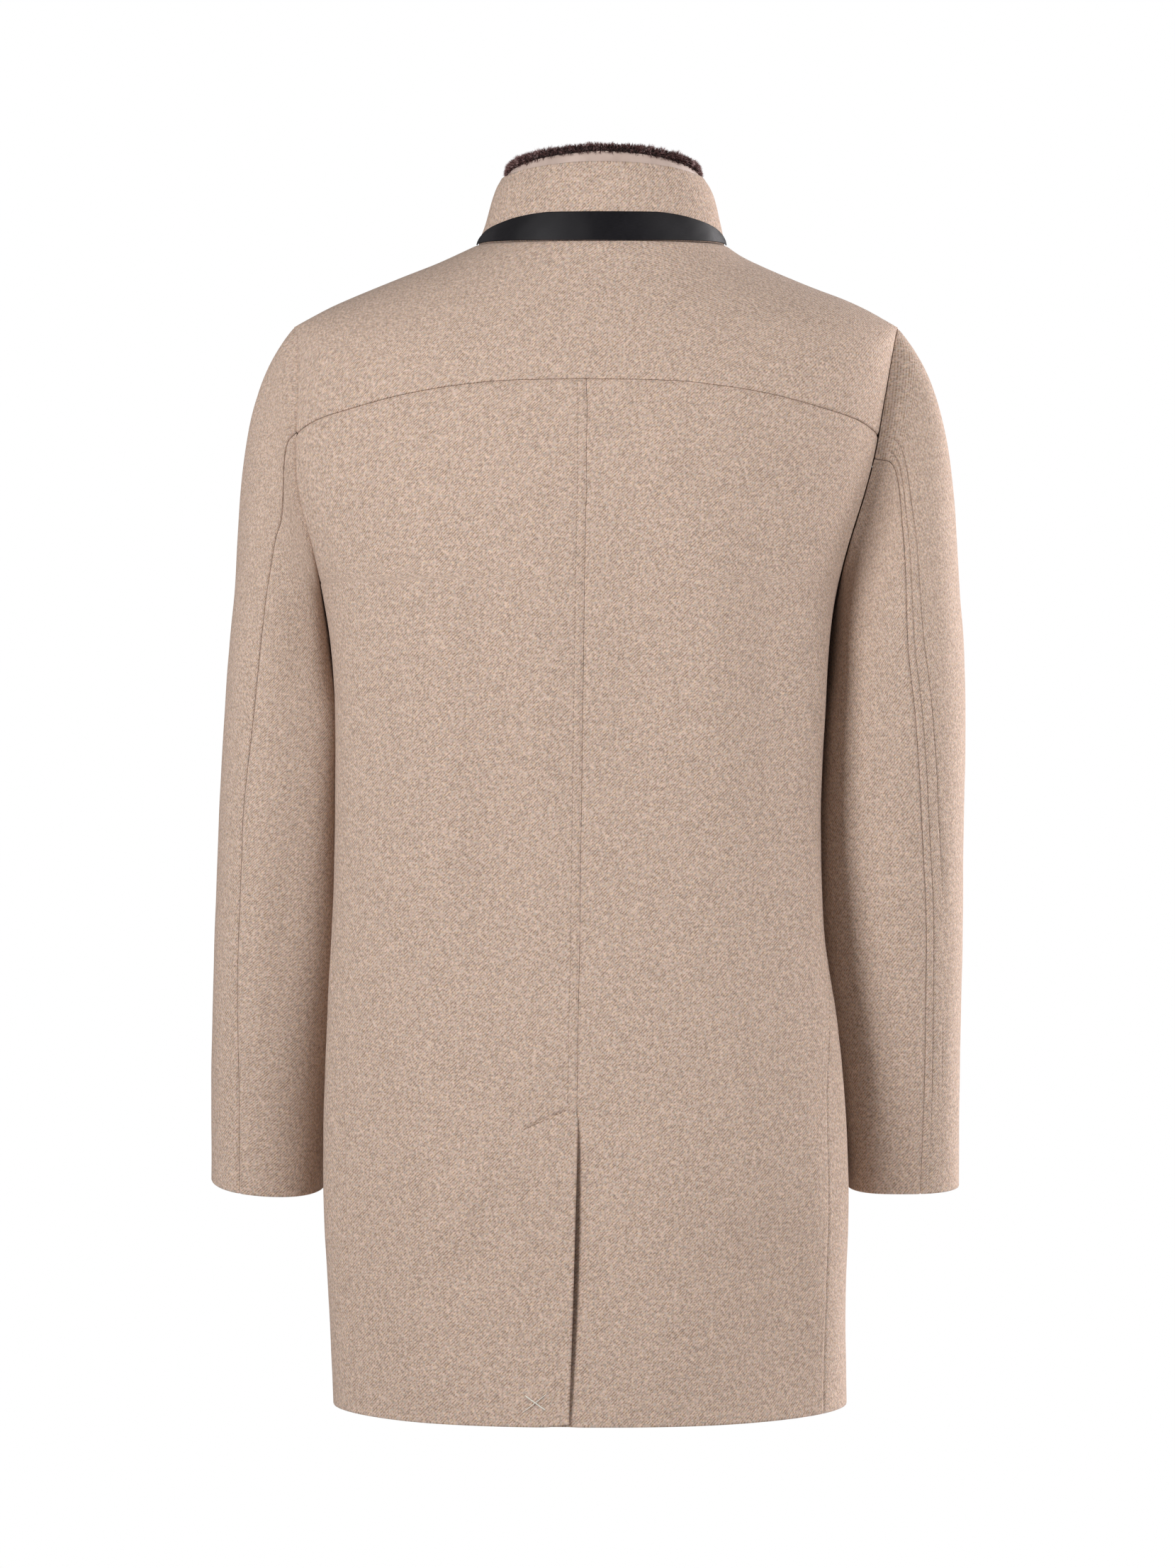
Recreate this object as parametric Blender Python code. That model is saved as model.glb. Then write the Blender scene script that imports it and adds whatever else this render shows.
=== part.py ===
"""Winter coat: a straight wool coat with a stand collar, worn form without a wearer.

Metres, +Z up. The front faces -Y and the wearer's left is +X. The origin is the middle of the
neck at the height of the back neck seam, where the wearer's shoulders carry the coat.

Every panel is a thin wall on one body form. The form is a stack of rings from the hem to the
neck seam, and a panel is a patch of it: a level (the height of a ring at the centre back) by a
distance along that ring from the centre back, positive to the wearer's left.
"""

from collections import namedtuple

import bmesh
import bpy
import numpy as np

for old in list(bpy.data.objects):
    bpy.data.objects.remove(old, do_unlink=True)

# ---------------------------------------------------------------- named sizes
CLOTH = 0.0024  # wool twill wall
COLLAR_WALL = 0.0036  # wool, two layers
INNER_WALL = 0.0020  # smooth inner collar
BAND_WALL = 0.0010  # satin crescent
SEAM = 0.0004  # gap between two pieces at a seam
LAY = 0.0003  # gap under a piece that lies on another
HEM = -0.900
NECK = 0.006  # height of the neck seam at the centre back
COLLAR_TOP = 0.067
VENT_TOP = -0.662
VENT_UNDERLAP = 0.038
VENT_DIP = 0.0032  # the underlap runs this far inside the overlap
FRONT_LAP = 0.036  # each front runs this far past the centre front
FRONT_DIP, FRONT_DIP_NECK = 0.0032, 0.0016  # the right front runs this far inside the left, and more at the neck
UNDERARM = -0.258
SHOULDER = -0.100  # level of the ring through the shoulder points
ARMHOLE_BACK = {1.0: 0.055, -1.0: 0.036}  # armhole edge from the side line, behind, left and right
ARMHOLE_FRONT = 0.060  # and in front
ARMHOLE_ROUND = 2.3
ARMHOLE_CLEAR = 0.0012  # the sleeve starts this far outside the body at the underarm
SHOULDER_SEAM_FORWARD = 0.012
SOFT_TURN = 0.015  # the cloth rounds off over this reach between rings
BAND_HEIGHT = 0.0222
BAND_TAPER_FROM, BAND_TAPER_TO = 0.30, 0.985  # as shares of the way from centre back to side
COLLAR_END = 0.008  # each collar end stops this far from the centre front
BUTTON_RADIUS, BUTTON_THICK, BUTTON_SIDES = 0.0125, 0.0042, 14
BUTTON_LEVELS = (-0.135, -0.262, -0.389, -0.516)

# ---------------------------------------------------------------- tables
Ring = namedtuple(
    "Ring", "z_back z_side z_front x_mid half_w y_back y_side y_front square square_front"
)
BODY = [
    Ring(-0.900, -0.894, -0.904, -0.0018, 0.2003, 0.1370, 0.020, -0.1460, 2.60, 2.25),
    Ring(-0.800, -0.798, -0.803, 0.0007, 0.2027, 0.1370, 0.020, -0.1450, 2.60, 2.20),
    Ring(-0.735, -0.735, -0.738, 0.0012, 0.2050, 0.1365, 0.022, -0.1440, 2.60, 2.15),
    Ring(-0.660, -0.660, -0.663, 0.0024, 0.2022, 0.1340, 0.026, -0.1420, 2.60, 2.10),
    Ring(-0.600, -0.600, -0.603, 0.0040, 0.1975, 0.1310, 0.030, -0.1400, 2.60, 2.05),
    Ring(-0.520, -0.520, -0.523, 0.0085, 0.1895, 0.1265, 0.032, -0.1370, 2.60, 2.05),
    Ring(-0.440, -0.440, -0.443, 0.0085, 0.1880, 0.1250, 0.032, -0.1340, 2.60, 2.05),
    Ring(-0.350, -0.350, -0.353, 0.0062, 0.1905, 0.1290, 0.028, -0.1310, 2.60, 2.10),
    Ring(-0.258, -0.258, -0.262, 0.0065, 0.2015, 0.1325, 0.010, -0.1270, 2.55, 2.25),
    Ring(-0.228, -0.222, -0.236, 0.0075, 0.2145, 0.1320, 0.004, -0.1250, 2.50, 2.40),
    Ring(-0.195, -0.183, -0.208, 0.0075, 0.2282, 0.1305, 0.000, -0.1220, 2.50, 2.45),
    Ring(-0.160, -0.140, -0.180, 0.0030, 0.2345, 0.1280, 0.000, -0.1180, 2.45, 2.45),
    Ring(-0.128, -0.095, -0.154, -0.0020, 0.2358, 0.1240, 0.000, -0.1120, 2.40, 2.40),
    Ring(-0.100, -0.0546, -0.131, -0.0067, 0.2369, 0.1190, 0.000, -0.1050, 2.40, 2.40),
    Ring(-0.0955, -0.0512, -0.1282, -0.0067, 0.2308, 0.1180, 0.000, -0.1037, 2.38, 2.38),
    Ring(-0.075, -0.0358, -0.115, -0.0067, 0.2030, 0.1125, 0.000, -0.0970, 2.30, 2.30),
    Ring(-0.048, -0.0204, -0.101, -0.0052, 0.1628, 0.1030, 0.000, -0.0880, 2.20, 2.20),
    Ring(-0.020, -0.0040, -0.088, -0.0060, 0.1228, 0.0905, 0.000, -0.0770, 2.15, 2.15),
    Ring(NECK, 0.0095, -0.077, -0.0110, 0.0975, 0.0800, 0.000, -0.0670, 2.10, 2.10),
]
COLLAR = [
    Ring(NECK, 0.0100, -0.0765, -0.0110, 0.0972, 0.0797, 0.000, -0.0667, 2.10, 2.10),
    Ring(0.0260, 0.0285, -0.0590, -0.0122, 0.0919, 0.0775, 0.000, -0.0670, 2.10, 2.10),
    Ring(0.0470, 0.0465, -0.0410, -0.0126, 0.0871, 0.0745, 0.000, -0.0665, 2.10, 2.10),
    Ring(0.0670, 0.0610, -0.0260, -0.0122, 0.0814, 0.0715, 0.000, -0.0650, 2.10, 2.10),
]
INNER = [
    Ring(0.0160, 0.0180, -0.0660, -0.0116, 0.0885, 0.0725, 0.000, -0.0610, 2.10, 2.10),
    Ring(0.0420, 0.0410, -0.0430, -0.0122, 0.0825, 0.0690, 0.000, -0.0600, 2.10, 2.10),
    Ring(0.0670, 0.0640, -0.0210, -0.0122, 0.0757, 0.0652, 0.000, -0.0575, 2.10, 2.10),
    Ring(0.0768, 0.0732, -0.0130, -0.0121, 0.0722, 0.0634, 0.000, -0.0560, 2.10, 2.10),
    Ring(0.0900, 0.0855, -0.0030, -0.0120, 0.0668, 0.0608, 0.000, -0.0540, 2.10, 2.10),
]
Height = namedtuple("Height", "at z")  # yoke seam: distance from the middle, height
YOKE_SEAM = [
    Height(0.000, -0.1030),
    Height(0.065, -0.1045),
    Height(0.105, -0.1085),
    Height(0.140, -0.1140),
    Height(0.180, -0.1235),
    Height(0.212, -0.1325),
    Height(0.232, -0.1440),
]
Line = namedtuple("Line", "level x")  # centre back seam and vent edge
CENTRE_BACK = [
    Line(-0.900, 0.0151),
    Line(-0.780, 0.0112),
    Line(-0.660, 0.0081),
    Line(-0.410, 0.0043),
    Line(-0.100, 0.0000),
]
Behind = namedtuple("Behind", "level by")  # side seam: how far behind the body's side line
SIDE_SEAM = [
    Behind(-0.900, 0.072),
    Behind(-0.760, 0.070),
    Behind(-0.660, 0.062),
    Behind(-0.600, 0.044),
    Behind(-0.520, 0.018),
    Behind(-0.400, 0.003),
    Behind(UNDERARM, 0.000),
]
# corner and pinch: how square the quarter behind and next to the body is, and how it narrows
Cuff = namedtuple("Cuff", "z x_in x_out y_mid half_d rise_out rise_front square corner pinch")
SLEEVES = {
    "left": [
        Cuff(-0.290, 0.2004, 0.2805, -0.028, 0.0690, 0.012, 0.000, 2.2, 4.0, 0.0),
        Cuff(-0.360, 0.1942, 0.2866, -0.026, 0.0680, 0.006, 0.000, 2.2, 5.0, 0.0),
        Cuff(-0.450, 0.1942, 0.2916, -0.030, 0.0660, 0.003, 0.001, 2.2, 4.0, 0.0),
        Cuff(-0.540, 0.1945, 0.2956, -0.034, 0.0620, 0.002, 0.004, 2.2, 2.8, 0.0),
        Cuff(-0.640, 0.2025, 0.2982, -0.042, 0.0570, 0.002, 0.007, 2.15, 2.15, 0.0),
        Cuff(-0.7285, 0.2090, 0.2992, -0.050, 0.0525, 0.003, 0.007, 2.1, 2.1, 0.0),
    ],
    "right": [
        Cuff(-0.290, 0.1888, 0.2940, -0.012, 0.0745, 0.012, 0.000, 2.2, 3.2, 0.24),
        Cuff(-0.360, 0.1818, 0.2973, -0.011, 0.0722, 0.006, 0.000, 2.2, 4.0, 0.36),
        Cuff(-0.450, 0.1758, 0.2963, -0.015, 0.0680, 0.003, 0.000, 2.2, 4.0, 0.35),
        Cuff(-0.540, 0.1788, 0.2956, -0.019, 0.0620, 0.001, 0.001, 2.2, 4.0, 0.50),
        Cuff(-0.640, 0.1930, 0.2946, -0.030, 0.0570, 0.000, 0.002, 2.15, 4.0, 0.40),
        Cuff(-0.7300, 0.2058, 0.2944, -0.040, 0.0525, 0.000, 0.003, 2.1, 3.6, 0.17),
    ],
}
# Sleeve seams, as how far their share of the way round moves from where they leave the armhole.
Seam = namedtuple("Seam", "along back front")
SLEEVE_SEAMS = {
    "left": [
        Seam(0.00, 0.000, 0.000),
        Seam(0.028, -0.014, -0.001),
        Seam(0.040, -0.004, -0.002),
        Seam(0.050, 0.016, -0.002),
        Seam(0.062, 0.032, -0.002),
        Seam(0.081, 0.036, -0.003),
        Seam(0.128, 0.018, -0.005),
        Seam(0.184, 0.002, -0.006),
        Seam(0.230, -0.009, -0.008),
        Seam(0.27, -0.014, -0.009),
        Seam(0.40, -0.035, -0.015),
        Seam(0.55, -0.056, -0.022),
        Seam(0.72, -0.058, -0.030),
        Seam(0.86, -0.045, -0.036),
        Seam(1.00, -0.038, -0.040),
    ],
    "right": [
        Seam(0.00, 0.000, 0.000),
        Seam(0.05, -0.042, -0.002),
        Seam(0.12, -0.026, -0.004),
        Seam(0.25, -0.021, -0.008),
        Seam(0.38, -0.043, -0.014),
        Seam(0.50, -0.062, -0.020),
        Seam(0.67, -0.077, -0.028),
        Seam(0.85, -0.066, -0.035),
        Seam(1.00, -0.044, -0.040),
    ],
}
CENTRE_FRONT = [Line(HEM, -0.0005), Line(NECK, -0.0105)]
SIDE = {"left": 1.0, "right": -1.0}


# ---------------------------------------------------------------- curves and rings
def smooth(at, xs, ys):
    """Monotone cubic through the points (xs, ys). ys may have several columns."""
    xs, ys = np.asarray(xs, float), np.asarray(ys, float)
    flat = ys.ndim == 1
    ys = ys[:, None] if flat else ys
    h = np.diff(xs)[:, None]
    d = np.diff(ys, axis=0) / h
    m = np.zeros_like(ys)
    m[0], m[-1] = d[0], d[-1]
    same = d[:-1] * d[1:] > 0
    w1, w2 = 2 * h[1:] + h[:-1], h[1:] + 2 * h[:-1]
    safe = np.where(same, d[:-1], 1.0), np.where(same, d[1:], 1.0)
    m[1:-1] = np.where(same, (w1 + w2) / (w1 / safe[0] + w2 / safe[1]), 0.0)
    at = np.clip(np.asarray(at, float), xs[0], xs[-1])
    k = np.clip(np.searchsorted(xs, at, side="right") - 1, 0, len(xs) - 2)
    s = ((at - xs[k]) / h[k, 0])[..., None]
    out = (
        (1 + 2 * s) * (1 - s) ** 2 * ys[k]
        + s * (1 - s) ** 2 * h[k] * m[k]
        + s * s * (3 - 2 * s) * ys[k + 1]
        + s * s * (s - 1) * h[k] * m[k + 1]
    )
    return out[..., 0] if flat else out


def step(x):
    x = np.clip(x, 0.0, 1.0)
    return x * x * (3 - 2 * x)


class Form:
    """A surface through a table of rings, read by level and distance along the ring."""

    def __init__(self, rows, levels=240, around=480):
        table = np.array(rows, float)
        self.lo, self.hi = table[0, 0], table[-1, 0]
        self.levels = np.linspace(self.lo, self.hi, levels)
        ring = smooth(self.levels, table[:, 0], table)
        self.x_mid = ring[:, 3]
        turn = np.linspace(0, np.pi, 721)
        q = np.linspace(0, 1, around // 2 + 1)
        halves, self.length, self.side = [], {}, {}
        for sign in (1.0, -1.0):
            half = np.empty((levels, len(q), 3))
            length, side = np.empty(levels), np.empty(levels)
            for k, r in enumerate(Ring(*row) for row in ring):
                back = turn <= np.pi / 2
                power = 2.0 / np.where(back, r.square, r.square_front)
                s, c = np.sin(turn) ** power, np.abs(np.cos(turn)) ** power
                x = r.x_mid + sign * r.half_w * s
                y = r.y_side + np.where(back, r.y_back - r.y_side, r.y_front - r.y_side) * c
                c2 = np.cos(turn) ** 2
                z = r.z_side + np.where(back, r.z_back - r.z_side, r.z_front - r.z_side) * c2
                p = np.stack([x, y, z], 1)
                run = np.r_[0, np.cumsum(np.linalg.norm(np.diff(p, axis=0), axis=1))]
                length[k], side[k] = run[-1], run[360]
                for axis in range(3):
                    half[k, :, axis] = np.interp(q * run[-1], run, p[:, axis])
            halves.append(half)
            self.length[sign], self.side[sign] = length, side
        # columns run from the centre front on the right, over the centre back, to the centre front on the left
        self.grid = np.concatenate([halves[1][:, ::-1], halves[0][:, 1:]], axis=1)
        self.n = len(q) - 1

    def soften(self, reach, keep):
        """Round off turns between rings within reach, but keep the turn at one level at the sides."""
        gap = self.levels[1] - self.levels[0]
        n = int(np.ceil(2.5 * reach / gap))
        offsets = np.arange(-n, n + 1)
        share = np.exp(-0.5 * (offsets * gap / reach) ** 2)
        rows = len(self.levels)
        index = np.clip(np.arange(rows)[:, None] + offsets[None, :], 0, rows - 1)
        eased = np.einsum("k,rkcx->rcx", share / share.sum(), self.grid[index])
        q = np.linspace(-1, 1, 2 * self.n + 1)[None, :]
        length = np.where(q < 0, self.length[-1.0][:, None], self.length[1.0][:, None])
        side = np.where(q < 0, self.side[-1.0][:, None], self.side[1.0][:, None])
        by_side = 1 - step((np.abs(np.abs(q) * length - side) - 0.006) / 0.05)
        at_keep = np.exp(-(((self.levels - keep) / 0.045) ** 2))[:, None]
        ends = step((self.levels - self.lo) / 0.06) * step((self.hi - self.levels) / 0.05)
        weight = (1 - by_side * at_keep) * ends[:, None]
        self.grid = self.grid + (eased - self.grid) * weight[..., None]

    def at(self, values, level):
        return np.interp(level, self.levels, values)

    def side_line(self, level, sign):
        return self.at(self.side[sign], level)

    def front_line(self, level, sign):
        return self.at(self.length[sign], level)

    def point(self, level, dist):
        level, dist = np.broadcast_arrays(np.asarray(level, float), np.asarray(dist, float))
        left, right = self.at(self.length[1.0], level), self.at(self.length[-1.0], level)
        whole = left + right
        dist = np.mod(dist + right, whole) - right
        q = np.where(dist >= 0, dist / left, dist / right)
        col = np.clip((q + 1.0) * self.n, 0, 2 * self.n)
        row = np.clip((level - self.lo) / (self.hi - self.lo), 0, 1) * (len(self.levels) - 1)
        i = np.clip(row.astype(int), 0, len(self.levels) - 2)
        j = np.clip(col.astype(int), 0, 2 * self.n - 1)
        u, v = (row - i)[..., None], (col - j)[..., None]
        g = self.grid
        return (1 - u) * ((1 - v) * g[i, j] + v * g[i, j + 1]) + u * (
            (1 - v) * g[i + 1, j] + v * g[i + 1, j + 1]
        )

    def normal(self, level, dist):
        dl, dd = 0.004, 0.004
        up = self.point(np.minimum(level + dl, self.hi), dist) - self.point(
            np.maximum(level - dl, self.lo), dist
        )
        along = self.point(level, dist + dd) - self.point(level, dist - dd)
        n = np.cross(up, along)
        return n / np.linalg.norm(n, axis=-1, keepdims=True)


body, collar_form, inner_form = Form(BODY), Form(COLLAR), Form(INNER)
body.soften(SOFT_TURN, SHOULDER)


# ---------------------------------------------------------------- panel edges on the body form
def armhole(level, reach):
    """How far the armhole's edge stands from the side line at a level."""
    t = np.clip((level - UNDERARM) / (SHOULDER - UNDERARM), 0, 1)
    return reach * (1 - np.abs(2 * t - 1) ** ARMHOLE_ROUND) ** (1 / ARMHOLE_ROUND)


def side_seam(level, sign):
    """Distance of the side seam, and of the body's side line above the underarm."""
    seam = np.array(SIDE_SEAM)
    return body.side_line(level, sign) - smooth(level, seam[:, 0], seam[:, 1])


def edge_behind(level, sign):
    """Outer edge of the back and yoke: side seam, then armhole, then shoulder seam."""
    over = SHOULDER_SEAM_FORWARD * step((level - SHOULDER) / (NECK - SHOULDER))
    return sign * (side_seam(level, sign) - armhole(level, ARMHOLE_BACK[sign]) + over)


def edge_before(level, sign):
    """Outer edge of the fronts, across the same seams."""
    over = SHOULDER_SEAM_FORWARD * step((level - SHOULDER) / (NECK - SHOULDER))
    return sign * (side_seam(level, sign) + armhole(level, ARMHOLE_FRONT) + over)


def centre_back(level):
    line = np.array(CENTRE_BACK)
    return smooth(level, line[:, 0], line[:, 1]) - body.at(body.x_mid, level)


def centre_front(level, sign):
    """Distance at which a front reaches the straight line of the centre front."""
    (low, x_low), (high, x_high) = CENTRE_FRONT
    x = np.interp(level, (low, high), (x_low, x_high))
    return body.front_line(level, sign) + sign * (body.at(body.x_mid, level) - x)


def across_back(level, share, sign):
    """Distance at each share of the way from the centre back to the outer edge."""
    start = centre_back(level)
    return start + share * (edge_behind(level, sign) - start)


def yoke_level(share, sign):
    """Level of the yoke seam at each share of the way from the centre back to the armhole."""
    seam = np.array(YOKE_SEAM)
    tries = np.linspace(-0.20, -0.085, 240)
    found = []
    for s in np.atleast_1d(share):
        p = body.point(tries, across_back(tries, s, sign))
        miss = p[:, 2] - smooth(np.abs(p[:, 0]), seam[:, 0], seam[:, 1])
        found.append(np.interp(0.0, miss, tries))
    return np.array(found)


def spaced(a, b, count):
    return a + (b - a) * np.linspace(0, 1, count)


def rounded(a, b, count):
    """Values from a to b, closer together at both ends, where an armhole turns."""
    return a + (b - a) * 0.5 * (1 - np.cos(np.pi * np.linspace(0, 1, count)))


# ---------------------------------------------------------------- solids
def finish(name, verts, faces, material, smooth_shade=True):
    mesh = bpy.data.meshes.new(name)
    mesh.from_pydata([tuple(v) for v in verts], [], faces)
    bm = bmesh.new()
    bm.from_mesh(mesh)
    bmesh.ops.recalc_face_normals(bm, faces=bm.faces)
    bm.to_mesh(mesh)
    bm.free()
    if smooth_shade:
        mesh.shade_smooth()
        mesh.set_sharp_from_angle(angle=0.7)
    mesh.materials.append(material)
    piece = bpy.data.objects.new(name, mesh)
    bpy.context.scene.collection.objects.link(piece)
    return piece


def wall(name, outer, inner, material, keep=None):
    """Closed wall between two grids of points. keep leaves cells of the grid out."""
    rows, cols = outer.shape[:2]
    keep = np.ones((rows - 1, cols - 1), bool) if keep is None else keep
    count = rows * cols

    def at(i, j, layer):
        return layer * count + i * cols + j

    faces = []
    for i, j in zip(*np.nonzero(keep)):
        a, b, c, d = (i, j), (i + 1, j), (i + 1, j + 1), (i, j + 1)
        faces.append([at(*p, 0) for p in (a, b, c, d)])
        faces.append([at(*p, 1) for p in (d, c, b, a)])
        for (p, r), (ni, nj) in (
            ((a, b), (i, j - 1)),
            ((b, c), (i + 1, j)),
            ((c, d), (i, j + 1)),
            ((d, a), (i - 1, j)),
        ):
            inside = 0 <= ni < rows - 1 and 0 <= nj < cols - 1
            if not (inside and keep[ni, nj]):
                faces.append([at(*r, 0), at(*p, 0), at(*p, 1), at(*r, 1)])
    used = sorted({v for f in faces for v in f})
    new = {v: k for k, v in enumerate(used)}
    points = np.concatenate([outer.reshape(-1, 3), inner.reshape(-1, 3)])[used]
    return finish(name, points, [[new[v] for v in f] for f in faces], material)


def paint(name, colour, roughness):
    material = bpy.data.materials.new(name)
    material.use_nodes = True
    shader = material.node_tree.nodes["Principled BSDF"]
    shader.inputs["Base Color"].default_value = (*colour, 1.0)
    shader.inputs["Roughness"].default_value = roughness
    shader.inputs["Metallic"].default_value = 0.0
    return material


WOOL = paint("wool_twill", (0.52, 0.385, 0.305), 0.95)
SATIN = paint("dark_satin", (0.020, 0.018, 0.021), 0.45)
SMOOTH = paint("smooth_lining_cloth", (0.42, 0.31, 0.25), 0.55)
FUR = paint("brown_fur", (0.065, 0.036, 0.031), 0.9)
HORN = paint("button", (0.060, 0.036, 0.024), 0.4)


def panel(name, level, dist, lift=0.0, keep=None):
    """Wool wall on the body form at these levels and distances, moved out by lift."""
    p, n = body.point(level, dist), body.normal(level, dist)
    lift = np.asarray(lift, float)[..., None] if np.ndim(lift) else lift
    return wall(name, p + n * lift, p + n * (lift - CLOTH), WOOL, keep)


BACK_COLUMNS, FRONT_COLUMNS = 9, 11
BELOW = np.r_[spaced(HEM, VENT_TOP, 5), spaced(VENT_TOP, -0.315, 8)[1:], -0.285, -0.268, UNDERARM]
VENT_ROWS = 4
RISE = rounded(0, 1, 9)  # rows of the back from the underarm, closest at the armhole's turn
OVER = rounded(0, 1, 6)  # rows of the yoke up to the shoulder points
YOKE_ENDS = {sign: yoke_level(1.0, sign)[0] for sign in SIDE.values()}
FRONT_ROWS = rounded(UNDERARM, SHOULDER, 11)


def rows_between(levels, top):
    """Grid of levels: shared rows below the underarm, then rows that fan out to each column's top."""
    lower = np.repeat(np.array(levels)[:, None], len(top), axis=1)
    upper = levels[-1] + RISE[1:, None] * (top[None, :] - levels[-1])
    return np.vstack([lower, upper])

# back panels
for hand, sign in SIDE.items():
    share = spaced(0, 1, BACK_COLUMNS)
    level = rows_between(BELOW, yoke_level(share, sign) - SEAM / 2)
    dist = across_back(level, share[None, :], sign)
    dist[:, 0] += sign * SEAM / 2
    dist[:, -1] -= sign * SEAM
    if sign > 0:
        panel("back_left", level, dist)
    else:
        # The right back dips inside along the vent and carries the underlap.
        under = spaced(VENT_UNDERLAP, VENT_UNDERLAP / 3, 3)
        extra = centre_back(level[:, :1]) + under[None, :]
        dist = np.hstack([extra, dist])
        level = np.hstack([np.repeat(level[:, :1], len(under), axis=1), level])
        into = centre_back(level) - dist
        dip = VENT_DIP * step((VENT_TOP + 0.034 - level) / 0.034) * (1 - step((into - 0.002) / 0.032))
        keep = np.ones((level.shape[0] - 1, level.shape[1] - 1), bool)
        keep[VENT_ROWS:, : len(under)] = False
        panel("back_right", level, dist, -dip, keep)

# yoke, from armhole to armhole and over the shoulders to the neck seam
share = spaced(-1, 1, 2 * BACK_COLUMNS - 1)
sides = np.where(share < 0, -1.0, 1.0)
low = np.array([yoke_level(abs(s), sg)[0] for s, sg in zip(share, sides)]) + SEAM / 2
level = np.vstack(
    [
        low[None, :] + OVER[:, None] * (SHOULDER - low[None, :]),
        np.repeat(spaced(SHOULDER, NECK - SEAM, 6)[1:, None], len(share), axis=1),
    ]
)
dist = np.stack([across_back(level[:, j], abs(share[j]), sg) for j, sg in enumerate(sides)], 1)
dist[:, 0] += SEAM
dist[:, -1] -= SEAM
panel("back_yoke", level, dist)

# fronts, left over right
for hand, sign in SIDE.items():
    rows = np.r_[BELOW, FRONT_ROWS[1:], spaced(SHOULDER, NECK - SEAM, 6)[1:]]
    level = np.repeat(rows[:, None], FRONT_COLUMNS, axis=1)
    start = edge_before(level, sign) + sign * SEAM / 2
    stop = sign * (centre_front(level, sign) + FRONT_LAP)
    share = spaced(0, 1, FRONT_COLUMNS)
    dist = start + share[None, :] * (stop - start)
    past = sign * dist - centre_front(level, sign)
    deep = FRONT_DIP + FRONT_DIP_NECK * step((level - SHOULDER + 0.03) / 0.06)
    dip = deep * step((past + FRONT_LAP + 0.034) / 0.032) if sign < 0 else 0.0
    panel("front_" + hand, level, dist, -dip)


# ---------------------------------------------------------------- sleeves
def armhole_edges(sign):
    """The armhole's back edge, down from the shoulder point, and its front edge, up from the
    underarm: levels, points and run along each."""
    levels = rounded(SHOULDER, UNDERARM, 200)
    edges = []
    for way, reach, ls in ((-1, ARMHOLE_BACK[sign], levels), (1, ARMHOLE_FRONT, levels[::-1])):
        p = body.point(ls, sign * (body.side_line(ls, sign) + way * armhole(ls, reach)))
        run = np.r_[0, np.cumsum(np.linalg.norm(np.diff(p, axis=0), axis=1))]
        edges.append((ls, p, run))
    return edges


def armhole_ring(sign, count):
    """The armhole from the shoulder point, down its back edge and up its front edge."""
    ring = []
    for _, p, run in armhole_edges(sign):
        t = np.linspace(0, run[-1], count // 2 + 1)[:-1]
        ring.append(np.stack([np.interp(t, run, p[:, k]) for k in range(3)], 1))
    return np.concatenate(ring)


def armhole_shares(sign):
    """Shares round the armhole at which the body's rows meet it."""
    (back, _, run_b), (front, _, run_f) = armhole_edges(sign)
    end = YOKE_ENDS[sign]
    rows_b = np.r_[SHOULDER + OVER * (end - SHOULDER), end + RISE[1:] * (UNDERARM - end)]
    share_b = np.interp(rows_b, back[::-1], run_b[::-1]) / run_b[-1] / 2
    share_f = 0.5 + np.interp(FRONT_ROWS, front, run_f) / run_f[-1] / 2
    return np.r_[share_b, share_f[1:]]


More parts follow.
